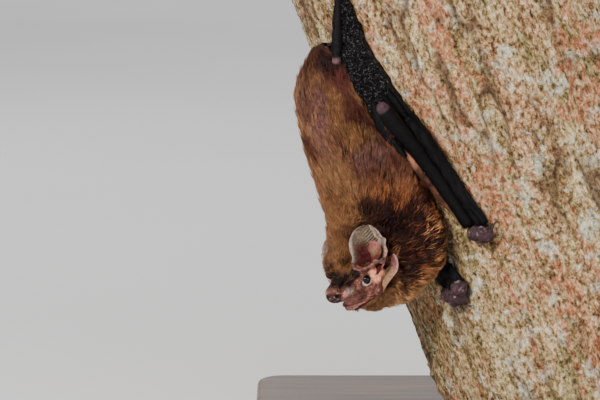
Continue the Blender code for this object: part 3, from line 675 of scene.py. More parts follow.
SHOULDER = (
    (-36.0, 8.2, 8.6, 2.6, 2.6, 2.6),
    (-30.0, 9.8, 8.6, 4.4, 4.2, 4.2),
    (-22.0, 10.8, 8.6, 5.4, 4.8, 4.8),
    (-12.0, 11.0, 8.4, 6.4, 5.0, 5.4),
    (-4.0, 10.8, 8.2, 6.8, 5.0, 5.2),
    (2.4, 8.2, 8.6, 5.2, 4.6, 4.6),
    (5.8, 5.4, 9.2, 3.6, 3.6, 3.6),
    (7.8, 4.0, 9.8, 1.8, 1.8, 1.8),
)
# nose, left, up, half width, rise, drop
NECK = (
    (-15.0, 0.0, 2.0, 6.0, 6.0, 6.0),
    (-12.5, 0.0, 0.8, 8.4, 8.4, 9.6),
    (-9.0, 0.0, 0.4, 8.0, 7.6, 10.4),
    (-5.0, 0.0, 0.4, 6.6, 6.6, 9.6),
    (-2.8, 0.0, 0.2, 5.0, 5.4, 8.0),
)
HEAD = (
    (-9.5, 0.0, 1.0, 4.0, 4.0, 4.0),
    (-7.5, 0.0, 1.0, 6.4, 6.0, 6.6),
    (-4.0, 0.0, 0.8, 6.2, 4.8, 6.4),
    (-1.4, 0.0, 0.6, 5.4, 3.5, 5.7),
    (1.2, 0.0, 0.0, 4.7, 3.2, 4.9),
    (3.2, 0.0, -0.9, 4.3, 3.1, 3.7),
    (5.2, 0.0, -1.6, 4.0, 2.6, 2.5),
    (7.0, 0.0, -2.0, 3.4, 2.0, 1.9),
    (8.4, 0.0, -2.2, 2.4, 1.5, 1.5),
    (9.2, 0.0, -2.2, 1.2, 0.8, 0.8),
)
# The thick fur of crown and nape, between the ears and over the right one: nose, left, up, and half sizes
FLUFF = (
    ((-2.0, -2.3, 4.0), (4.3, 4.7, 5.8)),
    ((-4.6, -2.4, 10.0), (4.6, 5.8, 6.6)),
    ((-5.6, -1.8, 15.5), (5.0, 6.0, 5.6)),
    ((-0.4, -4.4, 3.9), (4.1, 3.2, 4.0)),
)
JAW = (
    (-4.2, 0.0, -5.4, 2.6, 1.0, 1.2),
    (-2.6, 0.0, -5.4, 4.0, 1.6, 1.7),
    (0.2, 0.0, -5.6, 3.7, 1.6, 1.7),
    (2.0, 0.0, -5.5, 2.3, 1.5, 1.95),
    (3.1, 0.0, -5.3, 1.5, 1.2, 1.6),
    (3.9, 0.0, -5.2, 0.7, 0.6, 0.7),
)
# Hip, knee and ankle: forward, away from the midline, height. The right leg is drawn up beside the rump.
LEGS = {
    "left": ((-46.0, 6.0, 8.0), (-52.2, 9.6, 9.0), (-67.3, 11.6, 2.5)),
    "right": ((-41.0, 6.0, 8.0), (-33.5, 12.0, 7.6), (-46.8, 10.8, 2.5)),
}
SIDES = ((1, "left"), (-1, "right"))
ARMS = {
    "left": {
        "shoulder": (-18.0, 52.5, 9.0),
        "elbow": (-39.0, 56.6, 13.0),
        "wrist": (-1.8, 63.2, 3.4),
        "pad": (-0.8, 63.8, 2.8),
        "knuckle": (0.5, 66.4, 2.5),
        "thumb": ((-0.2, 67.9, 1.9), (-1.0, 68.8, 1.5)),
        "claw": ((-1.2, 69.2, 1.5), (-1.7, 70.0, 1.4), (-1.6, 70.8, 0.6)),
        "fingers": (
            (-2.6, 67.2, 2.1),
            (-12, 63.3, 2.4),
            (-24, 59.6, 3.2),
            (-35, 56.6, 5.0),
            (-41, 54.6, 5.4),
        ),
    },
    "right": {
        "elbow": (-27.0, 22.0, 11.0),
        "wrist": (10.4, 50.8, 3.4),
        "pad": (12.2, 51.6, 2.8),
        "knuckle": (15.0, 48.4, 2.5),
        "thumb": ((16.4, 49.6, 1.9), (17.0, 50.6, 1.5)),
        "claw": ((17.2, 51.2, 1.5), (17.8, 51.8, 1.4), (17.8, 52.5, 0.6)),
        "fingers": ((10.4, 46.8, 2.1), (-1, 37.4, 2.0), (-13, 28.0, 2.4), (-24, 20.4, 4.0), (-30, 18.0, 5.0)),
    },
}
FLESH_STEP = 0.36
# Swellings of the face: nose, left, up, and half sizes; each is on both sides
SWELLINGS = (
    ((4.3, 2.3, -1.9), (2.3, 1.9, 1.9)),
    ((8.3, 0.9, -2.2), (1.2, 1.0, 1.2)),
    ((1.0, 3.0, 2.0), (2.4, 2.0, 1.8)),
    ((-2.4, 4.2, -2.8), (2.6, 2.2, 2.4)),
)


def flesh():
    """The furred body and the head, out to the tips of the coat, as one closed surface."""
    shells = [loft(on_body, TORSO, 6, 48)]
    for rows, steps, sides in ((NECK, 6, 48), (HEAD, 8, 48), (JAW, 6, 32)):
        shells.append(loft(on_head, rows, steps, sides, HEAD_UP))
    shells += [egg(on_head(*centre), sizes, sides=40) for centre, sizes in FLUFF]
    for side, word in SIDES:
        shells.append(loft(mirrored(on_body, side), SHOULDER, 5, 36))
        hip, knee, _ = (mirrored(on_body, side)(*p) for p in LEGS[word])
        shells.append(tube([hip, between(hip, knee, 0.6), knee], [3.6, 2.6, 1.6], 6, 24))
        for (nose, left, up), sizes in SWELLINGS:
            shells.append(egg(on_head(nose, side * left, up), sizes))
    shoulder, elbow = on_log(*ARMS["left"]["shoulder"]), on_log(*ARMS["left"]["elbow"])
    upper_arm = [shoulder, between(shoulder, elbow, 0.5), between(shoulder, elbow, 0.93)]
    shells.append(tube(upper_arm, [3.1, 2.2, 1.1], 6, 24))
    return merged(shells, FLESH_STEP, 5)


# Ears: the places of one are across its opening (backwards positive), up, and deep into the cup
# root as nose, left, up, and how far out the opening looks from straight ahead
EARS = {1: ((-1.8, 5.6, 1.2), radians(31)), -1: ((-4.0, 6.5, -2.4), radians(20))}
EAR_CUP = 2.6
EAR_LEAN = (0.04, 0.1)
# up the ear: height, front edge, back edge
EAR_ROWS = (
    (-0.4, -2.4, 1.2),
    (1.6, -4.2, 3.0),
    (3.2, -4.7, 3.7),
    (5.0, -4.8, 4.05),
    (7.0, -4.9, 4.1),
    (8.2, -4.9, 4.3),
    (8.8, -4.85, 3.5),
    (9.5, -4.65, 3.1),
    (10.4, -4.2, 2.6),
    (11.4, -3.3, 1.8),
    (12.1, -1.9, 1.0),
    (12.35, -0.9, 0.3),
)


def on_ear(side, across, up, deep):
    (nose, left, lift), faces = EARS[side]
    backward = -sin(faces) * across - cos(faces) * deep + EAR_LEAN[0] * up
    outward = cos(faces) * across - sin(faces) * deep + EAR_LEAN[1] * up
    return on_head(nose + backward, side * (left + outward), lift + up)


def ear_places(points, side):
    """Across, up and deep of points by an ear, and their share of the way across its opening."""
    (at_nose, at_left, at_up), faces = EARS[side]
    nose, left, up = head_places(points).T
    up = up - at_up
    back = nose - at_nose - EAR_LEAN[0] * up
    out = left * side - at_left - EAR_LEAN[1] * up
    across = -sin(faces) * back + cos(faces) * out
    deep = -cos(faces) * back - sin(faces) * out
    rows = eased(EAR_ROWS, 4)
    front, behind = np.interp(up, rows[:, 0], rows[:, 1]), np.interp(up, rows[:, 0], rows[:, 2])
    return across, up, deep, (across - (front + behind) / 2) / np.maximum((behind - front) / 2, 0.1)


# Where the coat grows: the bare face ends at a line over the brow, and climbs in front of each ear to its
# base. The brow's line, as nose and up
BROW = (
    (-6.0, 4.2),
    (-2.0, 3.4),
    (0.0, 2.9),
    (1.6, 2.6),
    (2.8, 2.1),
    (4.0, 1.5),
    (5.5, 0.95),
    (6.6, 0.3),
    (8.0, -0.9),
)
# The dark line of fur along it, on the left side: nose, left, up
BAND = ((1.9, 4.7, 3.0), (2.5, 4.2, 2.6), (3.4, 2.7, 2.1), (4.6, 1.3, 1.7), (5.6, 0.2, 1.1))


def brow_line(nose):
    return np.interp(nose, *zip(*BROW))


def bareness(points):
    """1 on the naked skin of the face, 0 where fur grows."""
    nose, left, up = head_places(points).T
    over = fade(0.35, -0.35, up - brow_line(nose))
    for side, _ in SIDES:
        across, rise, deep, _ = ear_places(points, side)
        strip = fade(0.9, 0.2, deep) * fade(-5.3, -4.5, across) * fade(3.9, 3.2, rise)
        over = np.maximum(over, strip * fade(6.0, 4.5, across) * fade(1.0, 1.6, left * side))
    by_lobe = fade(2.2, 1.2, up) * fade(-4.6, -3.6, up)
    behind = fade(-5.4, -4.4, nose + 1.1 * by_lobe)
    chin = -5.9 - 0.33 * np.minimum(nose, 1.0) - 0.6 * np.maximum(nose - 1.0, 0)
    return over * behind * fade(-0.3, 0.3, up - chin)


def from_head(points):
    """Distance from the middle of the head."""
    return np.linalg.norm(head_places(points) - HEAD_MIDDLE, axis=1)


def in_fluff(points):
    """1 in the thick fur of crown and nape."""
    share = np.zeros(len(points))
    local = head_places(points)
    for centre, sizes in FLUFF:
        far = np.linalg.norm((local - centre) / sizes, axis=1)
        share = np.maximum(share, fade(1.15, 0.95, far))
    return share


def coat_depth(points):
    """How far the skin lies under the tips of the coat."""
    nose = head_places(points)[:, 0]
    forward = log_places(points)[:, 0]
    fluff = in_fluff(points)
    on_face = fade(10.5, 7.5, from_head(points)) * fade(-7.0, -4.0, nose) * (1 - fluff)
    before_rump = fade(-58.5, -50.0, forward)
    depth = 1.7 + 0.7 * np.maximum(fade(-16, -6, forward), fluff)
    depth = depth * (1 - on_face) + 0.95 * on_face
    depth = depth * before_rump + 0.8 * (1 - before_rump)
    return depth * (1 - bareness(points)) + 0.02


FLESH, FLESH_FACES = flesh()
FLESH_NORMALS = vertex_normals(FLESH, FLESH_FACES)


class Field:
    """Distance from the coat's outer surface, negative inside, on a grid, with its gradient."""

    def __init__(self, step=0.8, margin=4.0, reach=9.0, beyond=5.0):
        tree = tree_of(FLESH, FLESH_FACES)
        self.step, self.low = step, FLESH.min(0) - margin
        self.size = np.ceil((FLESH.max(0) + margin - self.low) / step).astype(int) + 1
        counts = np.meshgrid(*(np.arange(n) for n in self.size), indexing="ij")
        grid = self.low + step * np.stack(counts, -1).reshape(-1, 3)
        value = np.full(len(grid), beyond)
        for i, point in enumerate(grid.tolist()):
            hit, normal, _, far = tree.find_nearest(point, reach)
            if hit is not None:
                value[i] = far if (Vector(point) - hit).dot(normal) > 0 else -far
        value = value.reshape(self.size)
        self.values = np.stack([value, *np.gradient(value, step)], -1)

    def at(self, points):
        """Distances at points, and the ways out."""
        spread = np.clip((points - self.low) / self.step, 0, self.size - 1.001)
        cell = spread.astype(int)
        part = spread - cell
        total = 0.0
        for corner in range(8):
            step = np.array((corner & 1, corner >> 1 & 1, corner >> 2))
            weight = np.where(step, part, 1 - part).prod(-1)
            x, y, z = (cell + step).T
            total = total + weight[:, None] * self.values[x, y, z]
        return total[:, 0], unit(total[:, 1:])


FIELD = Field()

# The skin


def relaxed(verts, edges, weight, rounds):
    """Vertices moved towards the middle of their neighbours, where the weight asks for it."""
    a, b = edges.T
    count = np.bincount(np.concatenate([a, b]), minlength=len(verts))[:, None]
    for _ in range(rounds):
        ends = (a, b), (b, a)
        near = columns(*(sum(np.bincount(x, verts[y, k], len(verts)) for x, y in ends) for k in range(3)))
        verts = verts + (near / np.maximum(count, 1) - verts) * 0.5 * weight[:, None]
    return verts


def edges_of(faces):
    pairs = np.vstack([columns(f, np.roll(f, -1, 1)).reshape(-1, 2) for f in faces if len(f)])
    return np.unique(np.sort(pairs, 1), axis=0)


# Folds of the face: lines in nose, left and up, each with a half width and a height. A groove's is negative
MOUTH = (
    (4.9, 0.0, -5.2),
    (4.2, 1.3, -5.15),
    (3.3, 2.2, -5.0),
    (2.0, 2.9, -4.95),
    (0.6, 3.5, -4.85),
    (-0.5, 4.2, -4.6),
    (-1.2, 5.1, -4.2),
)
UPPER_LIP = (
    (4.7, 0.0, -4.6),
    (4.1, 1.0, -4.5),
    (2.8, 2.1, -4.4),
    (1.4, 3.1, -4.4),
    (0.2, 3.9, -4.25),
    (-0.8, 4.9, -3.9),
)
LOWER_LIP = ((5.0, 0.0, -5.7), (4.3, 1.3, -5.6), (3.3, 2.2, -5.5), (2.0, 2.8, -5.5), (0.8, 3.3, -5.3))
BELOW_EYE = ((2.7, 4.4, -0.3), (1.8, 4.4, -0.9), (0.9, 4.4, -1.55), (0.0, 5.0, -2.6), (-0.6, 5.4, -3.7))
FOLDS = (
    (MOUTH, 0.22, -0.36),
    (UPPER_LIP, 0.3, 0.26),
    (LOWER_LIP, 0.32, 0.3),
    (((4.4, 1.2, -6.4), (3.0, 2.2, -6.2), (1.6, 2.8, -6.1)), 0.3, -0.16),
    (((7.6, 0.8, -3.7), (6.2, 2.2, -3.9), (4.6, 3.0, -3.9), (2.6, 3.6, -3.8), (0.8, 4.2, -3.6)), 0.3, -0.22),
    (BELOW_EYE, 0.22, -0.3),
    (((4.7, 4.1, -1.3), (3.4, 3.8, -2.1), (2.2, 3.5, -2.9), (1.0, 3.6, -3.5)), 0.24, -0.28),
    (((3.6, 4.0, -1.0), (2.4, 4.1, -1.8), (1.2, 4.2, -2.6), (0.2, 4.6, -3.3)), 0.22, 0.2),
    (((3.0, 4.0, -1.6), (1.9, 4.0, -2.3), (0.8, 4.2, -3.1)), 0.16, -0.16),
    (((1.9, 4.5, -1.35), (0.9, 4.6, -2.0), (0.0, 4.9, -2.9)), 0.16, 0.16),
    (((0.9, 4.9, -1.3), (0.2, 5.1, -1.8), (-0.5, 5.4, -2.3)), 0.16, -0.2),
    (((-2.3, 6.1, -1.5), (-1.7, 6.1, -2.1), (-1.0, 6.0, -2.7), (-0.7, 5.6, -3.7)), 0.26, -0.42),
    (((-4.5, 6.3, 0.0), (-4.4, 6.1, -1.6), (-4.0, 5.9, -2.9)), 0.36, -0.3),
    (((-2.4, 6.1, -2.9), (-1.8, 6.0, -3.7), (-1.8, 5.8, -4.4)), 0.5, 0.2),
    (((7.4, 0.0, 0.2), (8.6, 0.0, -0.8), (9.3, 0.0, -2.0), (9.0, 0.0, -3.2)), 0.3, -0.18),
    (((7.7, 2.3, -0.2), (8.0, 2.3, -1.2), (7.8, 2.2, -2.6)), 0.28, -0.28),
    (((2.4, 4.3, 1.6), (3.4, 3.9, 0.7), (4.4, 3.6, 0.1)), 0.26, -0.18),
)
NOSTRIL, NOSTRIL_SIZE = np.array((8.9, 1.4, -1.75)), (0.5, 0.42, 0.36)
GLAND = np.array((6.0, 3.3, -1.3))
EYE_LOOKS = unit((0.3, 0.95, 0.06))
LID_REACH, UNDER_EYE = 2.4, 0.85


def sculpted(verts, normals, tree):
    """The face's folds, lids and nostrils, as moves along the skin's normals."""
    local = head_places(verts)
    mirror = columns(1.0, np.sign(local[:, 1] + 1e-6), 1.0)
    near = np.linalg.norm(local - (1, 0, -1), axis=1) < 16
    points = (local * mirror)[near]
    rise = 0.1 * np.maximum(rough(verts[near], 1.1, 3, 5), -0.4) * fade(10.5, 3.0, points[:, 0])
    for path, width, height in FOLDS:
        line = head_places(np.array([tree.find_nearest(on_head(*place).tolist())[0][:] for place in path]))
        from_side = path[0][1] > 0
        line[0, 1] = max(line[0, 1], 0) if from_side else 0.0
        away, along = to_path(points, line)
        ends = fade(0.0, 0.12, along) if from_side else 1.0
        rise += height * bell(away, width) * ends * fade(1.0, 0.85, along)
    pit = np.linalg.norm((points - NOSTRIL) / NOSTRIL_SIZE, axis=1)
    rise += -0.7 * bell(pit, 0.85) + 0.16 * bell(pit - 1.8, 0.5)
    gland = bell(np.linalg.norm(points - GLAND, axis=1), 1.2)
    rise += 0.3 * gland * (1 + 0.8 * rough(verts[near], 0.7, 2, 6))
    moved = verts.copy()
    moved[near] += normals[near] * (rise * bareness(verts[near]))[:, None]
    # the lids hug the eyeball, and the skin inside them lies under it
    away = head_places(moved) * mirror - EYE_AT
    use = np.linalg.norm(away, axis=1) < LID_REACH
    away = away[use]
    far = np.maximum(np.linalg.norm(away, axis=1), 1e-6)
    lean = np.degrees(np.arccos(np.clip(away @ EYE_LOOKS / far, -1, 1)))
    lid = EYE_RADIUS + 0.04 + 0.22 * bell(lean - 80, 12)
    wanted = np.where(lean < 70, UNDER_EYE, np.maximum(far, lid * fade(2.3, 1.35, far)))
    back = (away * (wanted / far)[:, None] + EYE_AT) * mirror[use]
    moved[use] = on_head(*back.T)
    return moved


def finer(verts, faces, wanted):
    """Splits the faces whose middle the test wants into four."""
    made = bmesh.new()
    for point in verts.tolist():
        made.verts.new(point)
    made.verts.ensure_lookup_table()
    for group in faces:
        for face in group.tolist():
            made.faces.new([made.verts[i] for i in face])
    picked = wanted(np.vstack([verts[g].mean(1) for g in faces if len(g)]))
    made.faces.ensure_lookup_table()
    edges = {e for i in np.flatnonzero(picked) for e in made.faces[i].edges}
    bmesh.ops.subdivide_edges(made, edges=list(edges), cuts=1, use_grid_fill=True)
    bmesh.ops.triangulate(made, faces=[f for f in made.faces if len(f.verts) > 4])
    points = np.array([v.co[:] for v in made.verts])
    loops = [[v.index for v in f.verts] for f in made.faces]
    made.free()
    return points, [np.array([loop for loop in loops if len(loop) == n], int).reshape(-1, n) for n in (4, 3)]


def face_detail(middles):
    return (bareness(middles) > 0.02) & (head_places(middles)[:, 0] > -6)


def eye_detail(middles):
    local = half_face(middles)
    away, _ = to_path(local, MOUTH)
    eye = np.linalg.norm(local - EYE_AT, axis=1) < 2.0
    return eye | (np.linalg.norm(local - NOSTRIL, axis=1) < 1.2) | (away < 0.7)


def make_core():
    """The skin of body and head: the flesh drawn in by the coat's depth, fine where it is bare."""
    verts = FLESH - FLESH_NORMALS * coat_depth(FLESH)[:, None]
    bare = bareness(FLESH)
    verts = relaxed(verts, edges_of(FLESH_FACES), 1 - 0.7 * bare, 4)
    form = put("skin_form", verts, FLESH_FACES)
    group = form.vertex_groups.new(name="under_fur")
    group.add(np.flatnonzero(bare < 0.01).tolist(), 1.0, "REPLACE")
    thin = form.modifiers.new("thin", "DECIMATE")
    thin.ratio, thin.vertex_group = 0.3, group.name
    verts, faces = finer(*applied(form), face_detail)
    verts = relaxed(verts, edges_of(faces), bareness(verts), 3)
    verts, faces = finer(verts, faces, eye_detail)
    verts = relaxed(verts, edges_of(faces), bareness(verts), 2)
    return sculpted(verts, vertex_normals(verts, faces), tree_of(verts, faces)), faces


EAR_SIDES = 34
RIDGE_APART = 0.86


def ear_ridges(across, up):
    """Waves from -1 to 1 over the ear's cup."""
    return np.cos(2 * pi * (up - 0.8 * across) / RIDGE_APART)


def ear_marks(up, share):
    """Where the ear's ridges, its rim, the band inside the rim and its hollow are, each from 0 to 1."""
    ridged = fade(4.6, 6.4, up) * fade(11.6, 10.4, up)
    ridged = ridged * fade(-0.25, 0.1, share) * fade(0.8, 0.62, share)
    rim = fade(0.80, 0.93, np.abs(share)) * fade(0.5, 2.5, up)
    band = fade(0.58, 0.68, share) * fade(4.5, 7.5, up)
    hollow = fade(8.8, 6.4, up) * fade(-0.88, -0.55, share)
    return ridged, rim, band, hollow


def make_ear(side):
    rows = eased(EAR_ROWS, 12)
    share = np.sin(np.linspace(-pi / 2, pi / 2, EAR_SIDES))
    up = rows[:, :1] + 0 * share
    middle, half = (rows[:, 1:2] + rows[:, 2:3]) / 2, (rows[:, 2:3] - rows[:, 1:2]) / 2
    across = middle + half * share
    close = 1 - (np.clip(up, 0, 20) / 14.0) ** 2
    deep = EAR_CUP * close * (0.6 - share**2)
    ridged, rim, _, hollow = ear_marks(up, share + 0 * up)
    fold = bell(share - 0.62, 0.05) * fade(4.5, 6.0, up)
    relief = 0.13 * ear_ridges(across, up) * ridged - 0.16 * rim - 0.28 * fold
    relief = relief + 0.3 * hollow - 0.1 * noise(columns(across, up, deep), 1.4, 8 + side)
    crimp = 0.2 * noise(columns(0, up, 0), 1.7, 3) * np.abs(share) ** 3
    thick = 0.34 + 0.5 * fade(3.5, 0.0, up) - 0.12 * np.abs(share) ** 4
    front = on_ear(side, across + crimp, up, deep + relief)
    back = on_ear(side, across + crimp, up, deep + thick)
    rings = np.concatenate([front, back[:, ::-1]], 1)
    return capped(rings if side > 0 else rings[:, ::-1])


# The lobe behind the ear's root: up, front and back edge across, and how deep each edge lies
LOBE = (
    (3.75, 5.35, 5.6, 1.0, 1.0),
    (3.4, 4.95, 5.95, 1.0, 0.9),
    (2.9, 4.75, 6.2, 1.1, 0.8),
    (2.0, 4.65, 6.4, 1.3, 0.7),
    (1.0, 4.4, 6.4, 1.7, 0.7),
    (0.3, 3.4, 6.25, 2.5, 0.8),
    (-0.6, 2.4, 5.9, 2.4, 0.9),
    (-1.6, 2.1, 5.0, 2.2, 1.0),
    (-2.8, 1.9, 3.85, 2.0, 1.0),
    (-4.0, 1.7, 2.75, 1.7, 0.9),
    (-5.2, 1.4, 1.9, 1.6, 1.0),
    (-5.8, 1.3, 1.5, 1.6, 1.3),
)
# Rows of across, up, deep, half width and half thickness
TRAGUS = (
    (0.6, 2.2, -0.1, 0.5, 0.4),
    (0.8, 3.4, -0.25, 0.75, 0.5),
    (1.1, 4.3, -0.4, 1.1, 0.6),
    (1.25, 5.2, -0.5, 1.45, 0.7),
    (1.2, 6.1, -0.45, 1.65, 0.65),
    (1.1, 6.9, -0.3, 1.45, 0.5),
    (1.0, 7.6, -0.1, 1.0, 0.35),
    (0.9, 8.2, 0.1, 0.4, 0.2),
)
# The rolled lower edge of the ear, from its front margin to the lobe
RIDGE = (
    (-4.6, 3.2, -1.4, 0.25, 0.3),
    (-4.2, 2.3, -2.2, 0.4, 0.5),
    (-3.1, 1.75, -2.1, 0.42, 0.55),
    (-1.8, 1.6, -0.9, 0.4, 0.5),
    (-0.6, 1.9, -0.5, 0.36, 0.45),
    (0.6, 2.4, -0.4, 0.36, 0.45),
    (2.0, 2.4, -0.1, 0.34, 0.4),
    (3.4, 2.7, 0.5, 0.3, 0.3),
)
KNOT = (
    (0.4, 2.9, -0.6, 0.3, 0.3),
    (1.0, 3.1, -0.7, 0.45, 0.4),
    (2.0, 2.9, -0.5, 0.3, 0.35),
    (3.0, 3.5, -0.1, 0.28, 0.3),
)


def make_lobe(side):
    rows = eased(LOBE, 7)
    share = np.sin(np.linspace(-pi / 2, pi / 2, 26))
    up, low, high, deep_low, deep_high = (rows[:, k : k + 1] for k in range(5))
    across = (low + high) / 2 + (high - low) / 2 * share
    deep = between(deep_low, deep_high, 0.5 + 0.5 * share)
    hollow = 0.55 * (1 - share**2) * fade(-3.5, 0.5, up) - 0.22 * fade(0.55, 0.95, share)
    deep = deep + hollow + 0.08 * noise(columns(across, up, deep), 0.9, 15)
    thick = 0.5 - 0.2 * np.abs(share) ** 4
    back = on_ear(side, across, up, deep + thick)
    return capped(np.concatenate([on_ear(side, across, up, deep), back[:, ::-1]], 1))


def flap(side, path, bend=0.0, steps=8, sides=22):
    """A lobe that lies in the plane of the ear's opening, hollowed by the bend."""
    facing = unit((on_ear(side, 0, 0, -1) - on_ear(side, 0, 0, 0)).ravel())
    rows = [(*row, row[4]) for row in path]
    verts, faces = loft(partial(on_ear, side), rows, steps, sides, facing)
    rings = verts[:-2].reshape(-1, sides, 3)
    middle = rings.mean(1, keepdims=True)
    away = np.linalg.norm(rings - middle, axis=-1, keepdims=True)
    reach = away.max(1, keepdims=True)
    verts[:-2] = (rings + facing * bend * (away**2 / np.maximum(reach, 1e-6))).reshape(-1, 3)
    return verts, faces


def arm_line(word):
    """The forearm's line from elbow to wrist, which sags towards the log."""
    elbow, wrist = (on_log(*ARMS[word][joint]) for joint in ("elbow", "wrist"))
    sag = radial(ARMS[word]["wrist"][1]) * 1.2
    return [elbow, between(elbow, wrist, 0.12), between(elbow, wrist, 0.5) - sag, between(elbow, wrist, 0.96)]


def wrinkled(shell, size, depth, seed):
    """A shell whose skin is folded by noise along its normals."""
    verts, faces = shell
    rise = depth * rough(verts, size, 3, seed)
    return verts + vertex_normals(verts, faces) * rise[:, None], faces


# Rows on the log: the folded membrane along each arm, the web between elbow and flank, and the pale edge
ARM_FANS = {
    "right": (
        (14.2, 52.2, 2.0, 1.4, 0.9, 0.9),
        (12.6, 51.4, 2.2, 2.6, 1.6, 1.4),
        (10.0, 49.4, 2.2, 3.0, 1.7, 1.5),
        (6.4, 46.4, 2.3, 3.5, 1.8, 1.6),
        (1.0, 42.0, 2.4, 3.5, 1.8, 1.6),
        (-6.0, 37.0, 2.6, 2.4, 1.6, 1.6),
    ),
    "left": (
        (-0.8, 65.4, 1.9, 1.2, 0.9, 0.9),
        (-3.0, 65.0, 2.1, 2.0, 1.3, 1.3),
        (-12.0, 62.2, 2.8, 2.6, 1.7, 1.9),
        (-24.0, 59.4, 4.4, 2.8, 2.2, 2.8),
        (-34.0, 57.4, 6.0, 2.2, 2.2, 3.0),
    ),
}
ELBOW_WEB = (
    (-40.5, 53.0, 10.8, 0.5, 0.4, 0.6),
    (-37.4, 53.2, 12.0, 1.2, 0.5, 1.6),
    (-33.0, 54.4, 12.8, 1.3, 0.4, 2.0),
    (-28.6, 56.2, 12.6, 0.8, 0.3, 2.0),
    (-25.2, 57.2, 12.0, 0.25, 0.2, 1.4),
)
ARM_EDGES = {
    "left": (
        (-29.5, 56.4, 10.7, 0.25, 0.25, 0.25),
        (-27.0, 56.4, 10.2, 0.5, 0.5, 0.5),
        (-23.0, 56.9, 9.2, 0.85, 0.6, 0.6),
        (-17.5, 57.7, 7.6, 0.95, 0.65, 0.65),
        (-12.0, 58.9, 5.8, 0.9, 0.6, 0.6),
        (-7.0, 60.2, 4.2, 0.8, 0.5, 0.5),
        (-3.2, 61.2, 3.0, 0.5, 0.4, 0.4),
    ),
    "right": (
        (11.0, 50.0, 3.5, 0.2, 0.2, 0.2),
        (8.6, 48.2, 3.8, 0.34, 0.3, 0.3),
        (5.0, 45.6, 3.9, 0.3, 0.3, 0.3),
        (1.0, 42.4, 3.8, 0.2, 0.2, 0.2),
    ),
}
# Each finger bone in the fold: how far round the log, how high, how thick, and the seed of its wrinkles
FINGERS = ((0.0, 0.0, 1.0, 1), (0.9, 0.45, 0.42, 2), (-0.8, 0.5, 0.36, 3), (0.1, 0.8, 0.34, 4))
FINGER_WIDTHS = np.array((1.0, 1.9, 2.1, 1.9, 1.0))


def make_arm(word):
    """Bones of the folded arm in their skin and the fingers laid back along them; the pale edge is last."""
    line = arm_line(word)
    shells = [wrinkled(tube(line, [1.5, 2.1, 1.7, 1.5], 12, 26), 2.0, 0.12, 3)]
    shells.append(wrinkled(egg(line[0] + FORWARD * 0.2, (1.55, 1.5, 1.6)), 1.2, 0.1, 7))
    forward, angle, height = np.array(ARMS[word]["fingers"]).T
    for offset, lift, thick, seed in FINGERS:
        turn = offset * (1.2 + 0.3 * np.arange(len(angle)))
        deep = 1.1 * thick
        rows = columns(forward, angle + turn, height + lift + 0.25, FINGER_WIDTHS * thick, deep, deep)
        shells.append(wrinkled(loft(on_log, rows, 12, 20), np.array((1.2, 1.2, 3.0)), 0.12, seed))
    shells.append(wrinkled(loft(on_log, ARM_FANS[word], 14, 40), np.array((1.0, 1.0, 2.6)), 0.4, 6))
    if word == "left":
        shells.append(wrinkled(loft(on_log, ELBOW_WEB, 12, 20), 1.4, 0.12, 5))
    return [*shells, wrinkled(loft(on_log, ARM_EDGES[word], 10, 14), 1.0, 0.1, 8)]


def make_hand(word):
    """The pad at the wrist and the thumb."""
    arm = ARMS[word]
    pad, knuckle = on_log(*arm["pad"]), on_log(*arm["knuckle"])
    middle = (pad + knuckle) / 2
    forms = [egg(pad, (2.3,) * 3), egg(knuckle, (2.0,) * 3), egg(middle, (2.3,) * 3)]
    if word == "right":
        forms += [egg(middle + FORWARD * 0.8, (2.4, 2.2, 2.4)), egg(on_log(13.4, 46.6, 2.2), (2.3,) * 3)]
    forms.append(tube([knuckle, *(on_log(*place) for place in arm["thumb"])], [1.1, 0.62, 0.4], 5, 14))
    return wrinkled(merged(forms, 0.26, 3), 1.0, 0.16, 9)


# forward, then angle and height at the edge by the body and at the far edge
FOLDED_WINGS = {
    "left": (
        (-26, 51.6, 5.0, 56.6, 2.6),
        (-36, 49.0, 7.6, 54.4, 2.4),
        (-42, 46.4, 7.4, 52.4, 2.2),
        (-48, 44.2, 8.0, 50.4, 2.0),
        (-53, 44.0, 8.8, 49.2, 1.8),
        (-60, 45.3, 6.0, 48.6, 1.8),
        (-66.5, 46.4, 3.0, 48.4, 1.6),
    ),
    "right": (
        (-23, 24.0, 6.0, 18.4, 2.6),
        (-29, 22.4, 6.4, 16.8, 2.4),
        (-33, 20.2, 6.4, 16.0, 2.2),
        (-40, 19.4, 6.0, 15.6, 2.0),
        (-46, 19.4, 4.4, 16.4, 1.8),
        (-48.5, 20.0, 2.8, 18.0, 1.6),
    ),
}
ACROSS_WING, UNDER_WING = 54, 6


def make_folded_wing(word):
    """The bunched membrane between elbow and ankle, pleated along its length, with a pebbled skin."""
    forward, near, near_height, far, far_height = (c[:, None] for c in eased(FOLDED_WINGS[word], 30).T)
    share = np.linspace(0, 1, ACROSS_WING)
    angle = between(near, far, share)
    height = between(near_height, far_height, share)
    sway = 0.7 * noise(columns(forward, 0 * angle, 0), 9.0, 3)
    pleats = np.abs(np.sin(pi * (2.2 * share + sway))) - 0.5
    pebbles = 1 - 1.6 * np.abs(rough(columns(forward * 0.7, angle * 0.8, height), 0.62, 2, 21))
    height = height + 0.3 * pleats * np.minimum(1, 6 * share * (1 - share) + 0.3) + 0.26 * pebbles
    angle = angle + share * 0.5 * rough(columns(forward, 0, 0), 2.6, 3, 9)
    under = between(angle[:, :1], angle[:, -1:], np.linspace(1, 0, UNDER_WING))
    rings = np.concatenate([on_log(forward, angle, height), on_log(forward, under, 0.4)], 1)
    return capped(rings if word == "right" else rings[:, ::-1])


TOES, TOE_LENGTH = 5, 3.6
HEEL = 2.6


def toe_spreads():
    """How far out of the foot's middle each toe is."""
    return np.arange(TOES) - (TOES - 1) / 2


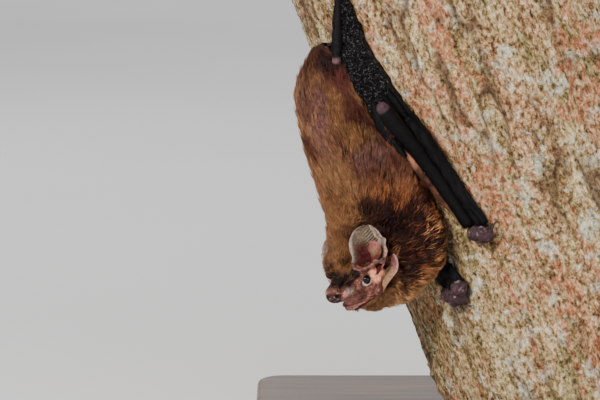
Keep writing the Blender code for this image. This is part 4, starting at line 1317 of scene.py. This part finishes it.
def make_leg(side, word):
    """The shells of the bare shank, and the foot with its toes."""
    place = mirrored(on_body, side)
    _, knee, ankle = (place(*joint) for joint in LEGS[word])
    forward, left, _ = LEGS[word][2]
    shank = [knee, between(knee, ankle, 0.25), between(knee, ankle, 0.6), ankle]
    shells = [wrinkled(tube(shank, [1.1, 1.3, 1.15, 0.8], 14, 22), 0.9, 0.16, 4)]
    shells.append(egg(knee, (1.1,) * 3, sides=18))
    forms = [tube([ankle, place(forward - 3.0, left + 0.5, 1.7)], [0.9, 1.5], 6, 14, 0.6)]
    for spread in toe_spreads():
        start = place(forward - HEEL, left + 0.5 + 0.42 * spread, 1.5)
        knuckle = place(forward - HEEL - TOE_LENGTH * 0.55, left + 0.8 + 0.75 * spread, 1.9)
        end = place(forward - HEEL - TOE_LENGTH, left + 1.0 + 1.0 * spread, 1.2)
        forms.append(tube([start, knuckle, end], [0.6, 0.5, 0.4], 4, 10))
    return shells, wrinkled(merged(forms, 0.2, 2), 0.7, 0.06, 2)


# The tail bends under the belly: forward, left, height, radius. Its membrane: forward, half width, height.
TAIL = (
    (-55.6, 0.5, 4.6, 1.2),
    (-55.0, 0.5, 3.2, 1.15),
    (-53.2, 0.5, 2.2, 1.0),
    (-50.0, 0.5, 1.8, 0.85),
    (-44.0, 0.5, 1.7, 0.7),
    (-37.0, 0.5, 1.8, 0.55),
    (-31.0, 0.5, 2.0, 0.35),
)
TAIL_MEMBRANE = (
    (-55.4, 2.6, 4.2),
    (-55.8, 3.6, 3.2),
    (-55.6, 4.8, 1.8),
    (-54.2, 5.8, 0.7),
    (-51.0, 6.6, 0.45),
    (-45.0, 6.0, 0.4),
    (-40.0, 3.6, 0.4),
)


def make_tail():
    rows = [(*row, row[3], row[3]) for row in TAIL]
    tail = wrinkled(loft(on_body, rows, 8, 14, around(MIDLINE_AT_RUMP)), 1.2, 0.06, 5)
    forward, wide, height = (c[:, None] for c in eased(TAIL_MEMBRANE, 12).T)
    across = np.linspace(-1, 1, 64)
    grain = 0.1 * rough(columns(forward, wide * across, height), 1.1, 2, 14)
    sheet = on_body(forward, 0.5 + wide * across, height + 0.1 * across**2 + grain)
    normal = unit(np.cross(np.gradient(sheet, axis=0), np.gradient(sheet, axis=1))) * 0.2
    return [tail, capped(np.concatenate([sheet + normal, (sheet - normal)[:, ::-1]], 1))]


def outward(shell):
    """The shell with its faces turned to look out of it."""
    verts, faces = shell
    volume = 0.0
    for group in faces:
        if len(group):
            corners = verts[group]
            for k in range(1, group.shape[1] - 1):
                volume += (corners[:, 0] * np.cross(corners[:, k], corners[:, k + 1])).sum()
    return shell if volume > 0 else (verts, [np.asarray(g)[:, ::-1] for g in faces])


def face_tint(points):
    folded = half_face(points)
    nose, _, up = folded.T
    mottled = speckle(points, 1.0, 3, 60)
    fine = speckle(points, 0.45, 2, 61)
    eye = np.linalg.norm(folded - EYE_AT, axis=1)
    lower = fade(0.3, -0.8, (folded - EYE_AT)[:, 2])
    mouth, _ = to_path(folded, MOUTH)
    upper_lip, _ = to_path(folded, UPPER_LIP)
    lower_lip, _ = to_path(folded, LOWER_LIP)
    pit = np.linalg.norm((folded - NOSTRIL) / NOSTRIL_SIZE, axis=1)
    gland = np.linalg.norm((folded - GLAND) / (1.15, 1.0, 0.9), axis=1)
    pink = np.linalg.norm(folded - (7.5, 2.8, -1.7), axis=1)
    cheek = np.linalg.norm((folded - (-2.9, 5.9, 0.6)) / (2.5, 2.0, 2.1), axis=1)
    # painted shade: the face's grooves are darkened, the deeper the groove the darker
    painted_crease_shade = np.zeros(len(points))
    near = np.linalg.norm(folded - (1, 3, -2), axis=1) < 11
    for path, width, height in FOLDS[4:]:
        away, along = to_path(folded[near], path)
        if height < 0:
            groove_shade = bell(away, 1.1 * width) * min(1, -height / 0.3) * fade(0, 0.1, along)
            painted_crease_shade[near] = np.maximum(painted_crease_shade[near], groove_shade)
    brow = up - brow_line(nose)
    return layered(
        (104, 66, 56),
        (0.9 * mottled, (84, 46, 40)),
        (fade(0.5, 0.8, fine) * 0.55, (156, 106, 94)),
        (0.6 * fade(-2.6, -3.6, up) * fade(0.5, 2.0, nose), (156, 104, 94)),
        (fade(1.25, 0.55, cheek), (244, 168, 132)),
        (fade(0.5, 0.9, fine) * fade(1.1, 0.6, cheek) * 0.5, (226, 132, 108)),
        (0.9 * fade(4.0, 5.4, nose) * fade(-0.9, -0.1, up + 0.4 * mottled - 0.2), (58, 36, 30)),
        (0.8 * fade(0.4, 1.5, up) * fade(1.6, 3.0, nose) * fade(5.6, 4.6, nose), (90, 46, 34)),
        (0.9 * fade(1.5, 0.9, gland), (104, 86, 78)),
        (0.7 * fade(1.3, 0.7, gland) * fade(0.4, 0.7, fine), (152, 132, 122)),
        (0.8 * fade(1.1, 0.5, pink), (160, 104, 98)),
        (0.9 * fade(7.8, 8.7, nose), (34, 22, 20)),
        (0.55 * fade(8.3, 9.2, nose) * fade(0.4, 0.8, fine), (128, 104, 104)),
        # painted shade inside the nostril, near black
        (fade(1.5, 0.8, pit), (10, 5, 5)),
        (0.7 * fade(0.45, 0.2, upper_lip) * fade(5.0, 3.6, nose), (156, 88, 86)),
        (0.7 * fade(0.5, 0.25, lower_lip), (156, 94, 90)),
        (0.8 * fade(0.22, 0.1, mouth), (66, 22, 24)),
        (0.6 * fade(-5.6, -6.1, up), (140, 96, 88)),
        # painted shade in the grooves
        (0.75 * painted_crease_shade, (64, 28, 24)),
        (0.8 * bell(eye - EYE_RADIUS - 0.24, 0.17) * lower, (232, 206, 192)),
        (0.55 * bell(eye - EYE_RADIUS - 0.16, 0.15) * (1 - lower), (70, 36, 32)),
        (0.95 * fade(-1.3, -0.8, brow) * fade(1.6, 2.6, nose) * fade(6.6, 5.4, nose), (14, 6, 6)),
    )


def ear_tint(points, side):
    across, up, _, share = ear_places(points, side)
    ridged, rim, band, hollow = ear_marks(up, share)
    ridges = 0.5 + 0.5 * ear_ridges(across, up)
    inside = ((np.arange(len(points)) % (2 * EAR_SIDES) < EAR_SIDES) == (side > 0)).astype(float)
    mottled = speckle(points, 1.5, 3, 70)
    fine = speckle(points, 0.5, 2, 71)
    return layered(
        (98, 82, 68),
        (0.6 * mottled, (78, 64, 52)),
        (0.5 * fade(0.5, 0.9, fine), (122, 104, 88)),
        (0.7 * fade(2.5, -0.5, up), (150, 92, 82)),
        # painted shade in the hollow of the cup, mottled
        (0.97 * hollow * inside, (58, 18, 18)),
        (0.6 * hollow * inside * fade(0.45, 0.85, fine), (96, 40, 38)),
        # painted highlight on the crests of the ridges and painted shade between them
        (0.6 * inside * ridged * ridges, (158, 138, 118)),
        (0.9 * inside * ridged * (1 - ridges), (38, 30, 26)),
        (0.9 * inside * bell(share - 0.62, 0.06) * fade(4.5, 6.0, up), (200, 172, 146)),
        (0.8 * inside * band * (1 - rim), (124, 104, 100)),
        (0.75 * rim, (172, 148, 134)),
        (0.7 * rim * fade(0, 1, share) * fade(7.5, 4.0, up), (176, 116, 110)),
        # painted shade at the foot of the cup, by the ear's opening
        (0.8 * inside * fade(4.2, 3.2, up) * fade(1.6, 2.4, up), (56, 18, 20)),
    )


def lobe_tint(points, side):
    across, up, *_ = ear_places(points, side)
    mottled = speckle(points, 1.0, 3, 71)
    rows = np.array(LOBE)[::-1]
    back = np.interp(up, rows[:, 0], rows[:, 2])
    rim = fade(0.75, 0.3, back - across)
    return layered(
        (146, 116, 88),
        (0.6 * mottled, (122, 88, 68)),
        (0.9 * fade(-0.8, 1.2, up), (122, 72, 76)),
        (0.7 * fade(1.0, 3.0, up) * fade(0.3, 0.9, back - across), (84, 34, 44)),
        (0.75 * rim * fade(-3.0, 0.0, up), (186, 150, 142)),
        (0.5 * fade(-2.0, -5.0, up), (160, 110, 90)),
    )


def tragus_tint(points, side):
    across, up, *_ = ear_places(points, side)
    mottled = speckle(points, 1.1, 3, 72)
    return layered(
        (134, 84, 74),
        (0.6 * mottled, (106, 60, 54)),
        (0.85 * fade(6.6, 5.4, up) * fade(-0.2, 0.6, across), (112, 86, 60)),
        (0.85 * fade(5.0, 4.2, up), (80, 36, 32)),
        (0.8 * bell(across - 0.75 * (up - 5.2) - 2.0, 0.35) * fade(7.0, 5.8, up), (92, 30, 40)),
        (0.8 * bell(across + 0.25, 0.28), (90, 40, 36)),
    )


def ridge_tint(points):
    mottled = speckle(points, 0.9, 3, 73)
    return layered((132, 90, 82), (0.9 * mottled, (84, 48, 44)))


def knot_tint(points):
    return layered((120, 98, 88), (0.5 + 0.5 * noise(points, 0.8, 73), (60, 26, 28)))


def wing_tint(points):
    mottled = speckle(points, 2.0, 3, 74)
    elbow = np.min([np.linalg.norm(points - arm_line(word)[0], axis=1) for word in ARMS], axis=0)
    return layered(
        (4, 3, 4),
        (0.5 * mottled, (13, 9, 11)),
        (0.75 * fade(2.2, 1.5, elbow), (74, 54, 58)),
    )


def edge_tint(points):
    forward = log_places(points)[:, 0]
    return layered(
        (84, 52, 38),
        (fade(-0.1, 0.6, rough(points, 1.4, 2, 75)), (48, 27, 22)),
        (0.75 * bell(forward + 24.0, 2.2), (170, 112, 90)),
        (0.5 * bell(forward + 5.5, 3.0), (126, 98, 76)),
    )


def hand_tint(points):
    mottled = speckle(points, 1.0, 3, 76)
    return layered(
        (70, 50, 54),
        (mottled, (34, 22, 26)),
        (fade(0.7, 1.0, mottled), (124, 100, 104)),
    )


def leg_tint(points):
    knees = [mirrored(on_body, side)(*LEGS[word][1]) for side, word in SIDES]
    knee = np.min([np.linalg.norm(points - at, axis=1) for at in knees], axis=0)
    return layered(
        (6, 4, 5),
        (speckle(points, 1.2, 3, 77), (15, 9, 12)),
        (0.8 * fade(1.6, 1.0, knee), (104, 78, 82)),
    )


def core_tint(points):
    bare = bareness(points)[:, None]
    # under the coat the skin is dark brown, its own colour deepened by painted shade of the fur over it
    under_fur = layered((26, 13, 10), (speckle(points, 2, 2, 78), (18, 8, 7)))
    return under_fur * (1 - bare) + face_tint(points) * bare


def skin_paint():
    paint = Paint("bat_skin")
    where = paint.place()
    mottle = paint.ramp(paint.noise(where, 1.6, 6.0, 0.7), [(0.36, 0.55), (0.64, 1.3)])
    colour = paint.mix(1.0, paint.attribute("tint"), mottle, "MULTIPLY")
    gloss = paint.attribute("gloss", 2)
    dry = paint.ramp(paint.noise(where, 2.5, 3.0), [(0.3, 0.62), (0.7, 0.8)])
    bump = paint.bump(paint.noise(where, 2.2, 6.0, 0.72), 0.7, 0.00025)
    bump = paint.bump(paint.cells(where, 2.6), 0.4, 0.00014, bump)
    # the bunched wings are the wettest looking skin: pale specks painted into their colour are painted
    # highlights, where their pebbled surface would catch the light
    wing = paint.ramp(gloss, [(0.8, 0.0), (0.86, 1.0)])
    bump = paint.bump(paint.sum("MULTIPLY", paint.noise(where, 1.5, 3.0, 0.6), wing), 1.0, 0.0012, bump)
    specks = paint.ramp(paint.noise(where, 2.3, 3.0, 0.65), [(0.55, 0.0), (0.68, 0.34)])
    return paint.set(
        Base_Color=paint.mix(paint.sum("MULTIPLY", specks, wing), colour, (148, 146, 150)),
        Roughness=paint.sum("SUBTRACT", dry, paint.sum("MULTIPLY", gloss, 0.42)),
        Normal=bump,
        Subsurface_Weight=0.12,
        Subsurface_Radius=(1.0, 0.35, 0.2),
        Subsurface_Scale=0.0006,
        Specular_IOR_Level=0.1,
    )


PAIRED = ("ear", "tragus", "thigh", "shank", "foot", "thumb", "forearm", "fingers", "wing_membrane")
FLESH_NODES = ["torso", "neck", "head", "lower_jaw", "tail", "tail_membrane", "upper_arm_left"]
FLESH_NODES += [f"{part}_{word}" for _, word in SIDES for part in PAIRED]


def make_skin():
    """The one skin: shells, each with its colours and its gloss."""
    parts = [(make_core(), core_tint, 0.3)]
    for side, word in SIDES:
        leg, foot = make_leg(side, word)
        parts += [
            (make_ear(side), partial(ear_tint, side=side), 0.3),
            (make_lobe(side), partial(lobe_tint, side=side), 0.4),
            (wrinkled(flap(side, TRAGUS, 0.2), 1.1, 0.14, 16), partial(tragus_tint, side=side), 0.4),
            (wrinkled(flap(side, RIDGE), 0.9, 0.22, 12), ridge_tint, 0.3),
            (flap(side, KNOT), knot_tint, 0.8),
            *((shell, leg_tint, 0.35) for shell in leg),
            (foot, leg_tint, 0.4),
        ]
    for word in ARMS:
        *arm, edge = make_arm(word)
        parts += [(shell, wing_tint, 0.3) for shell in arm]
        parts += [(edge, edge_tint, 0.5), (make_hand(word), hand_tint, 0.6)]
        parts.append((make_folded_wing(word), wing_tint, 0.9))
    parts += [(shell, wing_tint, 0.6) for shell in make_tail()]
    skin = put("skin", *together([outward(shell) for shell, _, _ in parts]))
    attach(skin, "tint", np.vstack([tint(shell[0]) for shell, tint, _ in parts]))
    attach(skin, "gloss", np.concatenate([np.full(len(shell[0]), gloss) for shell, _, gloss in parts]))
    finish_piece(skin, skin_paint(), "fur", *FLESH_NODES)


make_skin()


def make_eyes():
    paint = Paint("eye")
    depth = paint.noise(paint.place(), 0.8, 2.0)
    black = paint.ramp(depth, [(0.3, (0.001, 0.001, 0.001)), (0.7, (0.003, 0.002, 0.002))])
    paint.set(Base_Color=black, Roughness=0.06, Specular_IOR_Level=0.3)
    for side, word in SIDES:
        nose, left, up = EYE_AT
        ball = egg(on_head(nose, side * left, up), (EYE_RADIUS,) * 3, sides=48)
        finish_piece(put(f"eyeball_{word}", *outward(ball)), paint, "eye", f"eye_{word}")


# A toe's claw: how far beyond the heel, how far out for each toe's spread, and how high
TOE_CLAW = ((3.2, 1.1, 1.3), (3.9, 1.25, 1.4), (4.7, 1.32, 1.3), (5.2, 1.4, 0.4))


def make_claws():
    paint = Paint("claw")
    streak = paint.noise(paint.place(), 1.6, 4.0)
    paint.set(Base_Color=paint.ramp(streak, [(0.3, (24, 17, 16)), (0.7, (66, 48, 42))]), Roughness=0.3)
    for word, arm in ARMS.items():
        path = [on_log(*place) for place in (arm["thumb"][1], *arm["claw"])]
        claw = tube(path, [0.36, 0.3, 0.24, 0.07], 8, 14)
        finish_piece(put(f"thumb_claw_{word}_horn", *outward(claw)), paint, "claw", f"thumb_claw_{word}")
    far, wide, high = np.array(TOE_CLAW).T
    for side, word in SIDES:
        place, (forward, left, _) = mirrored(on_body, side), LEGS[word][2]
        shells = []
        for spread in toe_spreads():
            path = place(forward - HEEL - far, left + 1.0 + wide * spread * 0.8, high)
            shells.append(outward(tube(path, [0.34, 0.34, 0.28, 0.07], 6, 12)))
        horn = put(f"toe_claws_{word}", *together(shells))
        finish_piece(horn, paint, "claw", *(f"toe_claw_{word}_{toe + 1}" for toe in range(TOES)))


make_eyes()
make_claws()

# The coat

RANDOM = np.random.default_rng(11)
TUFTS = 86000
TUFT_STEPS, TUFT_TRIANGLES, PIECE_TRIANGLES = 3, 16, 196000
TUFT_TAPER = np.array((0.85, 1.0, 0.62))
TUFT_CORNERS = ((-1.0, 0.0), (1.0, 0.0), (0.0, 0.75))
MUZZLE = np.array((6.0, 0.0, -1.0))
PATCH = 0.003  # width of a tuft's place in the OFBake map


def regions(points):
    """Shares of the coat's regions at points of its outer surface, and their places on head and body."""
    nose, left, up = head_places(points).T
    forward, angle, height = log_places(points).T
    crown = in_fluff(points)
    head = np.maximum(fade(10.5, 8.0, from_head(points)) * fade(-7.5, -5.5, nose), crown)
    ahead = fade(-21.0, -9.0, forward)
    ruff = ahead * (1 - head)
    # painted shade in the recess behind each ear
    painted_shade_behind_ear = np.zeros(len(points))
    for side, _ in SIDES:
        wide, tall, deep, _ = ear_places(points, side)
        beside = fade(1.12, 0.92, np.hypot(wide / 5.6, (tall - 7.0) / 7.4))
        painted_shade_behind_ear = np.maximum(painted_shade_behind_ear, beside * fade(0.0, 1.0, deep) * fade(3.0, 5.0, tall))
    return SimpleNamespace(
        nose=nose,
        left=left,
        up=up,
        forward=forward,
        across=(angle - midline(forward)) * (LOG_RADIUS + height) * pi / 180,
        crown=crown,
        head=head,
        ahead=ahead,
        ruff=ruff,
        painted_shade_behind_ear=painted_shade_behind_ear,
        band=fade(0.9, 0.5, to_path(half_face(points), BAND)[0]),
        throat=ruff * fade(-1.0, -6.0, up) * fade(16.0, 11.0, np.abs(left)),
        belly=fade(6.5, 3.0, height) * (1 - head),
        rump=fade(-41.0, -54.0, forward),
        thigh=fade(6.5, 3.0, np.linalg.norm(points - on_body(-50.0, 8.5, 8.5), axis=1)),
        chin=head * fade(-3.6, -4.6, up),
    )


def flow(points):
    """Which way the coat lies: down the back, and away from the muzzle round the head and neck."""
    r = regions(points)
    away = unit(points - on_head(*MUZZLE))
    spread = np.clip(r.across / 12.0, -1.2, 1.2)[:, None]
    back = -FORWARD + 0.32 * spread * around(log_places(points)[:, 1])
    share = np.maximum(fade(-26.0, -7.0, r.forward), r.head)[:, None]
    drift = columns(*(noise(points, 6.0, seed) for seed in (101, 102, 103)))
    fine = columns(*(noise(points, 2.2, seed) for seed in (104, 105, 106)))
    wild = (0.16 + 0.30 * r.ruff + 0.35 * r.head)[:, None]
    return unit(away * share + back * (1 - share)) + 0.25 * drift + wild * fine


def combed(place, length, depth, rise, jitter):
    """Paths of hairs that leave the skin, bend over and lie along the coat's outer surface."""
    points = [place]
    for step in range(TUFT_STEPS):
        share = (step + 1) / TUFT_STEPS
        _, out = FIELD.at(place)
        way = flow(place) + jitter
        way = unit(way - (way * out).sum(1, keepdims=True) * out)
        place = place + way * (length / TUFT_STEPS)[:, None]
        far, out = FIELD.at(place)
        wanted = -depth + (depth + rise) * (1 - (1 - share) ** 2)
        place = place + out * (wanted - far)[:, None]
        points.append(place)
    return np.stack(points, 1)


def coat_roots():
    """Places on the outer surface for the tufts, thicker on the face and thinner on the belly."""
    quads, tris = FLESH_FACES
    tris = np.vstack([quads[:, [0, 1, 2]], quads[:, [0, 2, 3]], tris])
    corners = FLESH[tris]
    middle = corners.mean(1)
    area = np.linalg.norm(np.cross(corners[:, 1] - corners[:, 0], corners[:, 2] - corners[:, 0]), axis=1) / 2
    r = regions(middle)
    weight = area * (1 - bareness(middle)) * (1 + 2.2 * r.head + 0.25 * r.ruff - 0.68 * r.belly)
    weight *= 0.5 + 0.5 * fade(-12.0, -2.0, r.across + 10 * r.head + 10 * (r.forward > -8))
    total = np.cumsum(weight)
    picked = np.searchsorted(total, (np.arange(TUFTS) + RANDOM.random(TUFTS)) / TUFTS * total[-1])
    picked = np.minimum(picked, len(tris) - 1)
    a, b = RANDOM.random((2, TUFTS))
    flip = a + b > 1
    a, b = np.where(flip, 1 - a, a), np.where(flip, 1 - b, b)
    c = corners[picked]
    points = c[:, 0] + a[:, None] * (c[:, 1] - c[:, 0]) + b[:, None] * (c[:, 2] - c[:, 0])
    normals = FLESH_NORMALS[tris[picked]].mean(1)
    keep = RANDOM.random(TUFTS) > bareness(points) * 1.02
    return points[keep], unit(normals[keep])


def lengths_of(r):
    """Lengths of the coat in its regions."""
    length = 5.6 * (1 - r.ruff) + 6.4 * r.ruff
    length = length * (1 - 0.35 * r.throat)
    length = length * (1 - r.head) + (2.5 + 1.1 * r.crown) * r.head
    length = length * (1 - r.band) + 1.0 * r.band
    length = length * (1 - r.chin) + 2.0 * r.chin
    length = length * (1 - 0.35 * r.belly)
    return length * (1 - 0.3 * r.rump)


# Patches of the coat seen in the photo: (forward, across), half sizes, and the colour of the tips
# the mauve tips, (116, 76, 70), (124, 84, 74) and (108, 72, 64), are painted sheen
PATCHES = (
    ((-46.0, 5.5), (4.0, 3.2), (128, 84, 54)),
    ((-41.0, 1.5), (5.5, 3.2), (90, 56, 48)),
    ((-38.8, 6.4), (6.0, 1.8), (116, 76, 70)),
    ((-38.0, 9.0), (6.0, 1.5), (134, 92, 58)),
    ((-44.0, 10.6), (4.0, 1.6), (92, 48, 42)),
    ((-35.5, 12.6), (7.0, 2.4), (64, 26, 20)),
    ((-30.5, -1.5), (4.6, 3.4), (68, 30, 22)),
    ((-33.0, 4.0), (3.6, 2.6), (124, 84, 74)),
    ((-29.0, 10.4), (3.8, 2.0), (130, 90, 54)),
    ((-24.5, 11.5), (3.4, 2.8), (108, 72, 64)),
    ((-27.0, 3.6), (2.6, 2.8), (112, 74, 60)),
    ((-21.0, 3.5), (6.0, 5.0), (138, 98, 64)),
)


def coat_tints(points, r, lock):
    """Colours of the tufts' roots and tips; lock is a number from 0 to 1 that the tufts of a lock share."""
    broad = speckle(points, 9.0, 3, 120)
    patch = speckle(points * (1.0, 1.0, 0.6), 5.0, 3, 121)
    fine = speckle(points, 1.3, 2, 122)
    each = RANDOM.random(len(points))
    tip = layered(
        (128, 86, 56),
        (fade(0.45, 0.8, patch) * 0.8, (106, 62, 56)),
        (fade(0.55, 0.2, broad) * 0.6, (148, 104, 68)),
        (fade(0.55, 0.95, lock) * 0.5, (186, 142, 100)),
        (fade(0.4, 0.0, lock) * 0.65, (84, 46, 36)),
        (0.85 * r.rump, (78, 36, 24)),
        (0.75 * fade(5.0, 10.0, r.across) * (1 - r.ahead), (78, 36, 30)),
        (0.9 * r.thigh, (36, 12, 12)),
        (0.5 * r.belly, (120, 90, 68)),
    )
    for (along, across), (long, wide), tone in PATCHES:
        away = np.hypot((r.forward - along) / long, (r.across - across) / wide) + 0.35 * (fine - 0.5)
        tip = layered(tip, (0.8 * fade(1.25, 0.6, away) * (1 - r.ahead), tone))
    # the ruff: locks nearly black where the fur parts behind the ear, a painted shade in that gap, more of
    # orange gold further out
    limit = np.interp(r.up, (-6.0, -3.5, 0.0, 5.0), (4.5, 8.0, 12.5, 14.5))
    painted_shade_gap = fade(4.5, 8.0, r.left) * fade(limit + 3.0, limit - 3.5, r.left)
    painted_shade_gap = painted_shade_gap * fade(15.0, 11.0, r.up)
    painted_shade_gap = np.maximum(painted_shade_gap, 0.42 * bell(r.up - 14.5, 3.5) * fade(5.0, 9.0, r.left))
    outer = fade(11.5, 14.5, r.left) * fade(-8.0, -3.0, r.up) * fade(16.0, 11.0, r.up)
    bright = outer * fade(13.0, 9.0, r.up) * fade(13.0, 15.5, r.left)
    mixed = 0.75 * lock + 0.25 * each
    # dark locks: some at random over the ruff, most of them in the gap behind the ear as painted shade
    dark = r.ruff * fade(-0.1, 0.1, 0.10 + 0.3 * outer + 0.86 * painted_shade_gap - mixed)
    rusty = r.ruff * fade(20.0, 16.0, r.up) * fade(6.0, 11.0, r.up) * fade(3.0, 8.0, r.left)
    tip = layered(
        tip,
        (0.8 * r.ruff, (146, 90, 52)),
        (0.5 * r.ruff * fade(0.5, 0.8, fine), (178, 118, 72)),
        (0.8 * bright * fade(0.5, 0.8, mixed), (218, 156, 102)),
        (0.75 * rusty, (134, 72, 40)),
        (0.96 * dark, (26, 8, 8)),
        (0.8 * dark * (each > 0.88), (116, 54, 30)),
        (0.9 * r.throat * fade(-3.0, -6.5, r.up), (196, 146, 100)),
        (0.9 * r.head, (134, 90, 56)),
        (0.5 * r.head * fade(0.5, 0.9, each), (182, 132, 86)),
        (0.75 * r.head * fade(0.5, 0.75, fine), (78, 42, 26)),
        (0.8 * r.chin, (160, 110, 76)),
        # painted shade behind the ears
        (0.9 * r.painted_shade_behind_ear, (34, 12, 12)),
        (0.97 * r.band, (14, 6, 6)),
    )
    # the roots: the fur's own darker base, deepened as painted shade down in the coat; nearly black under the
    # dark band and in the painted shade behind the ears
    root = layered(
        (28, 11, 10),
        (r.throat, (80, 46, 30)),
        (0.6 * r.head, (50, 26, 18)),
        (np.maximum(r.band, r.painted_shade_behind_ear), (8, 3, 3)),
    )
    shade = (0.8 + 0.4 * each)[:, None]
    return root * shade, tip * shade


def unwrapped(points):
    """Each root's place from 0 to 1 on an unwrap of the skin: the body round its own length, and the head."""
    r = regions(points)
    round_body = np.arctan2(r.across, log_places(points)[:, 2] - 9.0)
    u = 0.01 + 0.6 * (0.5 + round_body / (2 * pi))
    v = 0.02 + 0.95 * (r.forward - r.forward.min()) / np.ptp(r.forward)
    head = r.head > 0.5
    round_head = np.arctan2(r.left, r.up)
    u = np.where(head, 0.64 + 0.35 * (0.5 + round_head / (2 * pi)), u)
    v = np.where(head, 0.02 + 0.95 * np.clip((r.nose + 10.0) / 18.0, 0, 1), v)
    return columns(u, v)


def make_coat():
    """All the tufts, in pieces: the head's first, then from the rump forwards."""
    roots, normals = coat_roots()
    r = regions(roots)
    count = len(roots)
    depth = coat_depth(roots)
    length = lengths_of(r) * (0.75 + 0.5 * RANDOM.random(count))
    start = roots - normals * depth[:, None]
    jitter = RANDOM.normal(0, 1, (count, 3)) * (0.10 + 0.10 * r.ruff + 0.2 * r.head)[:, None]
    # locks: each tuft leans towards the nearest guide as it nears its tip
    guides = np.flatnonzero(RANDOM.random(count) < 0.1 + 0.05 * r.ruff + 0.03 * r.head)
    tree = KDTree(len(guides))
    for i, g in enumerate(guides):
        tree.insert(start[g].tolist(), i)
    tree.balance()
    near = guides[[tree.find(p)[1] for p in (start + 0.6 * jitter).tolist()]]
    lift = RANDOM.normal(-0.22, 0.26, count)[near] + RANDOM.normal(0.0, 0.1, count)
    rise = (np.minimum(lift, 0.45) + 0.3 * r.head) * (1 + 0.9 * r.ruff + 0.9 * r.rump - 0.2 * r.head)
    paths = combed(start, length, depth, rise, jitter)
    hold = (0.55 + 0.17 * r.ruff * (1 - 0.6 * r.throat) - 0.1 * r.head)[:, None, None]
    share = (np.arange(TUFT_STEPS + 1) / TUFT_STEPS)[None, :, None]
    paths = paths + (paths[near] - paths) * hold * share**1.3
    curl = unit(np.cross(paths[:, -1] - paths[:, 0], normals))
    phase = (RANDOM.random(count) * 2 * pi)[:, None, None]
    amount = ((0.06 + 0.14 * r.ruff + 0.3 * r.head * (1 - r.band)) * length * 0.35)[:, None, None]
    paths = paths + curl[:, None] * amount * np.sin(phase + 4.2 * share) * share
    root_tint, tip_tint = coat_tints(roots, r, RANDOM.random(count)[near])
    width = (0.105 + 0.03 * r.ruff - 0.045 * r.head) * (0.75 + 0.5 * RANDOM.random(count))
    tufts = (paths, normals, width, root_tint, tip_tint, unwrapped(roots))
    paint = fur_paint()
    order = np.argsort(r.forward - 200 * (r.head > 0.5))
    pieces = int(np.ceil(count * TUFT_TRIANGLES / PIECE_TRIANGLES))
    for number, pick in enumerate(np.array_split(order, pieces)):
        one_piece(f"coat_{number + 1}", paint, *(values[pick] for values in tufts))


def one_piece(name, paint, paths, normals, width, root, tip, place):
    """A piece of the coat: each tuft is a thin three-sided spike along its path."""
    count, rings = paths.shape[0], paths.shape[1] - 1
    along = np.gradient(paths, axis=1)
    side = unit(np.cross(along, normals[:, None]))
    out = unit(np.cross(side, along))[:, :rings]
    side, middle = side[:, :rings], paths[:, :rings]
    half = (width[:, None] * TUFT_TAPER)[..., None]
    corners = [middle + side * (wide * half) + out * (lift * half) for wide, lift in TUFT_CORNERS]
    verts = np.concatenate([np.stack(corners, 2).reshape(count, rings * 3, 3), paths[:, -1:]], 1)
    size = rings * 3 + 1
    faces = []
    for ring in range(rings - 1):
        for k in range(3):
            a, b = ring * 3 + k, ring * 3 + (k + 1) % 3
            faces += [(a, b, b + 3), (a, b + 3, a + 3)]
    top = (rings - 1) * 3
    faces += [(top + k, top + (k + 1) % 3, size - 1) for k in range(3)] + [(2, 1, 0)]
    whole = (np.array(faces)[None] + (np.arange(count) * size)[:, None, None]).reshape(-1, 3)
    thing = put(name, verts.reshape(-1, 3), [whole])
    level = np.concatenate([np.repeat(np.arange(rings) / rings, 3), [1.0]])
    # each tuft darkens from tip to root: the fur's own colour and painted shade down in the coat
    blend = fade(0.12, 0.8, level)[None, :, None]
    attach(thing, "tint", (root[:, None] * (1 - blend) + tip[:, None] * blend).reshape(-1, 3))
    spread = np.concatenate([np.tile((-0.5, 0.5, 0.0), rings), [0.0]])
    spots = place[:, None] + PATCH * columns(spread, level - 0.5)
    layer = thing.data.uv_layers.new(name="OFBake")
    layer.data.foreach_set("uv", spots.reshape(-1, 2)[whole.ravel()].astype(np.float32).ravel())
    finish_piece(thing, paint, "fur")


def fur_paint():
    paint = Paint("bat_fur")
    streak = paint.ramp(paint.noise(paint.place(), 0.9, 4.0), [(0.3, 0.74), (0.7, 1.2)])
    colour = paint.mix(1.0, paint.attribute("tint"), streak, "MULTIPLY")
    return paint.set(Base_Color=colour, Roughness=0.5, Specular_IOR_Level=0.2)


make_coat()
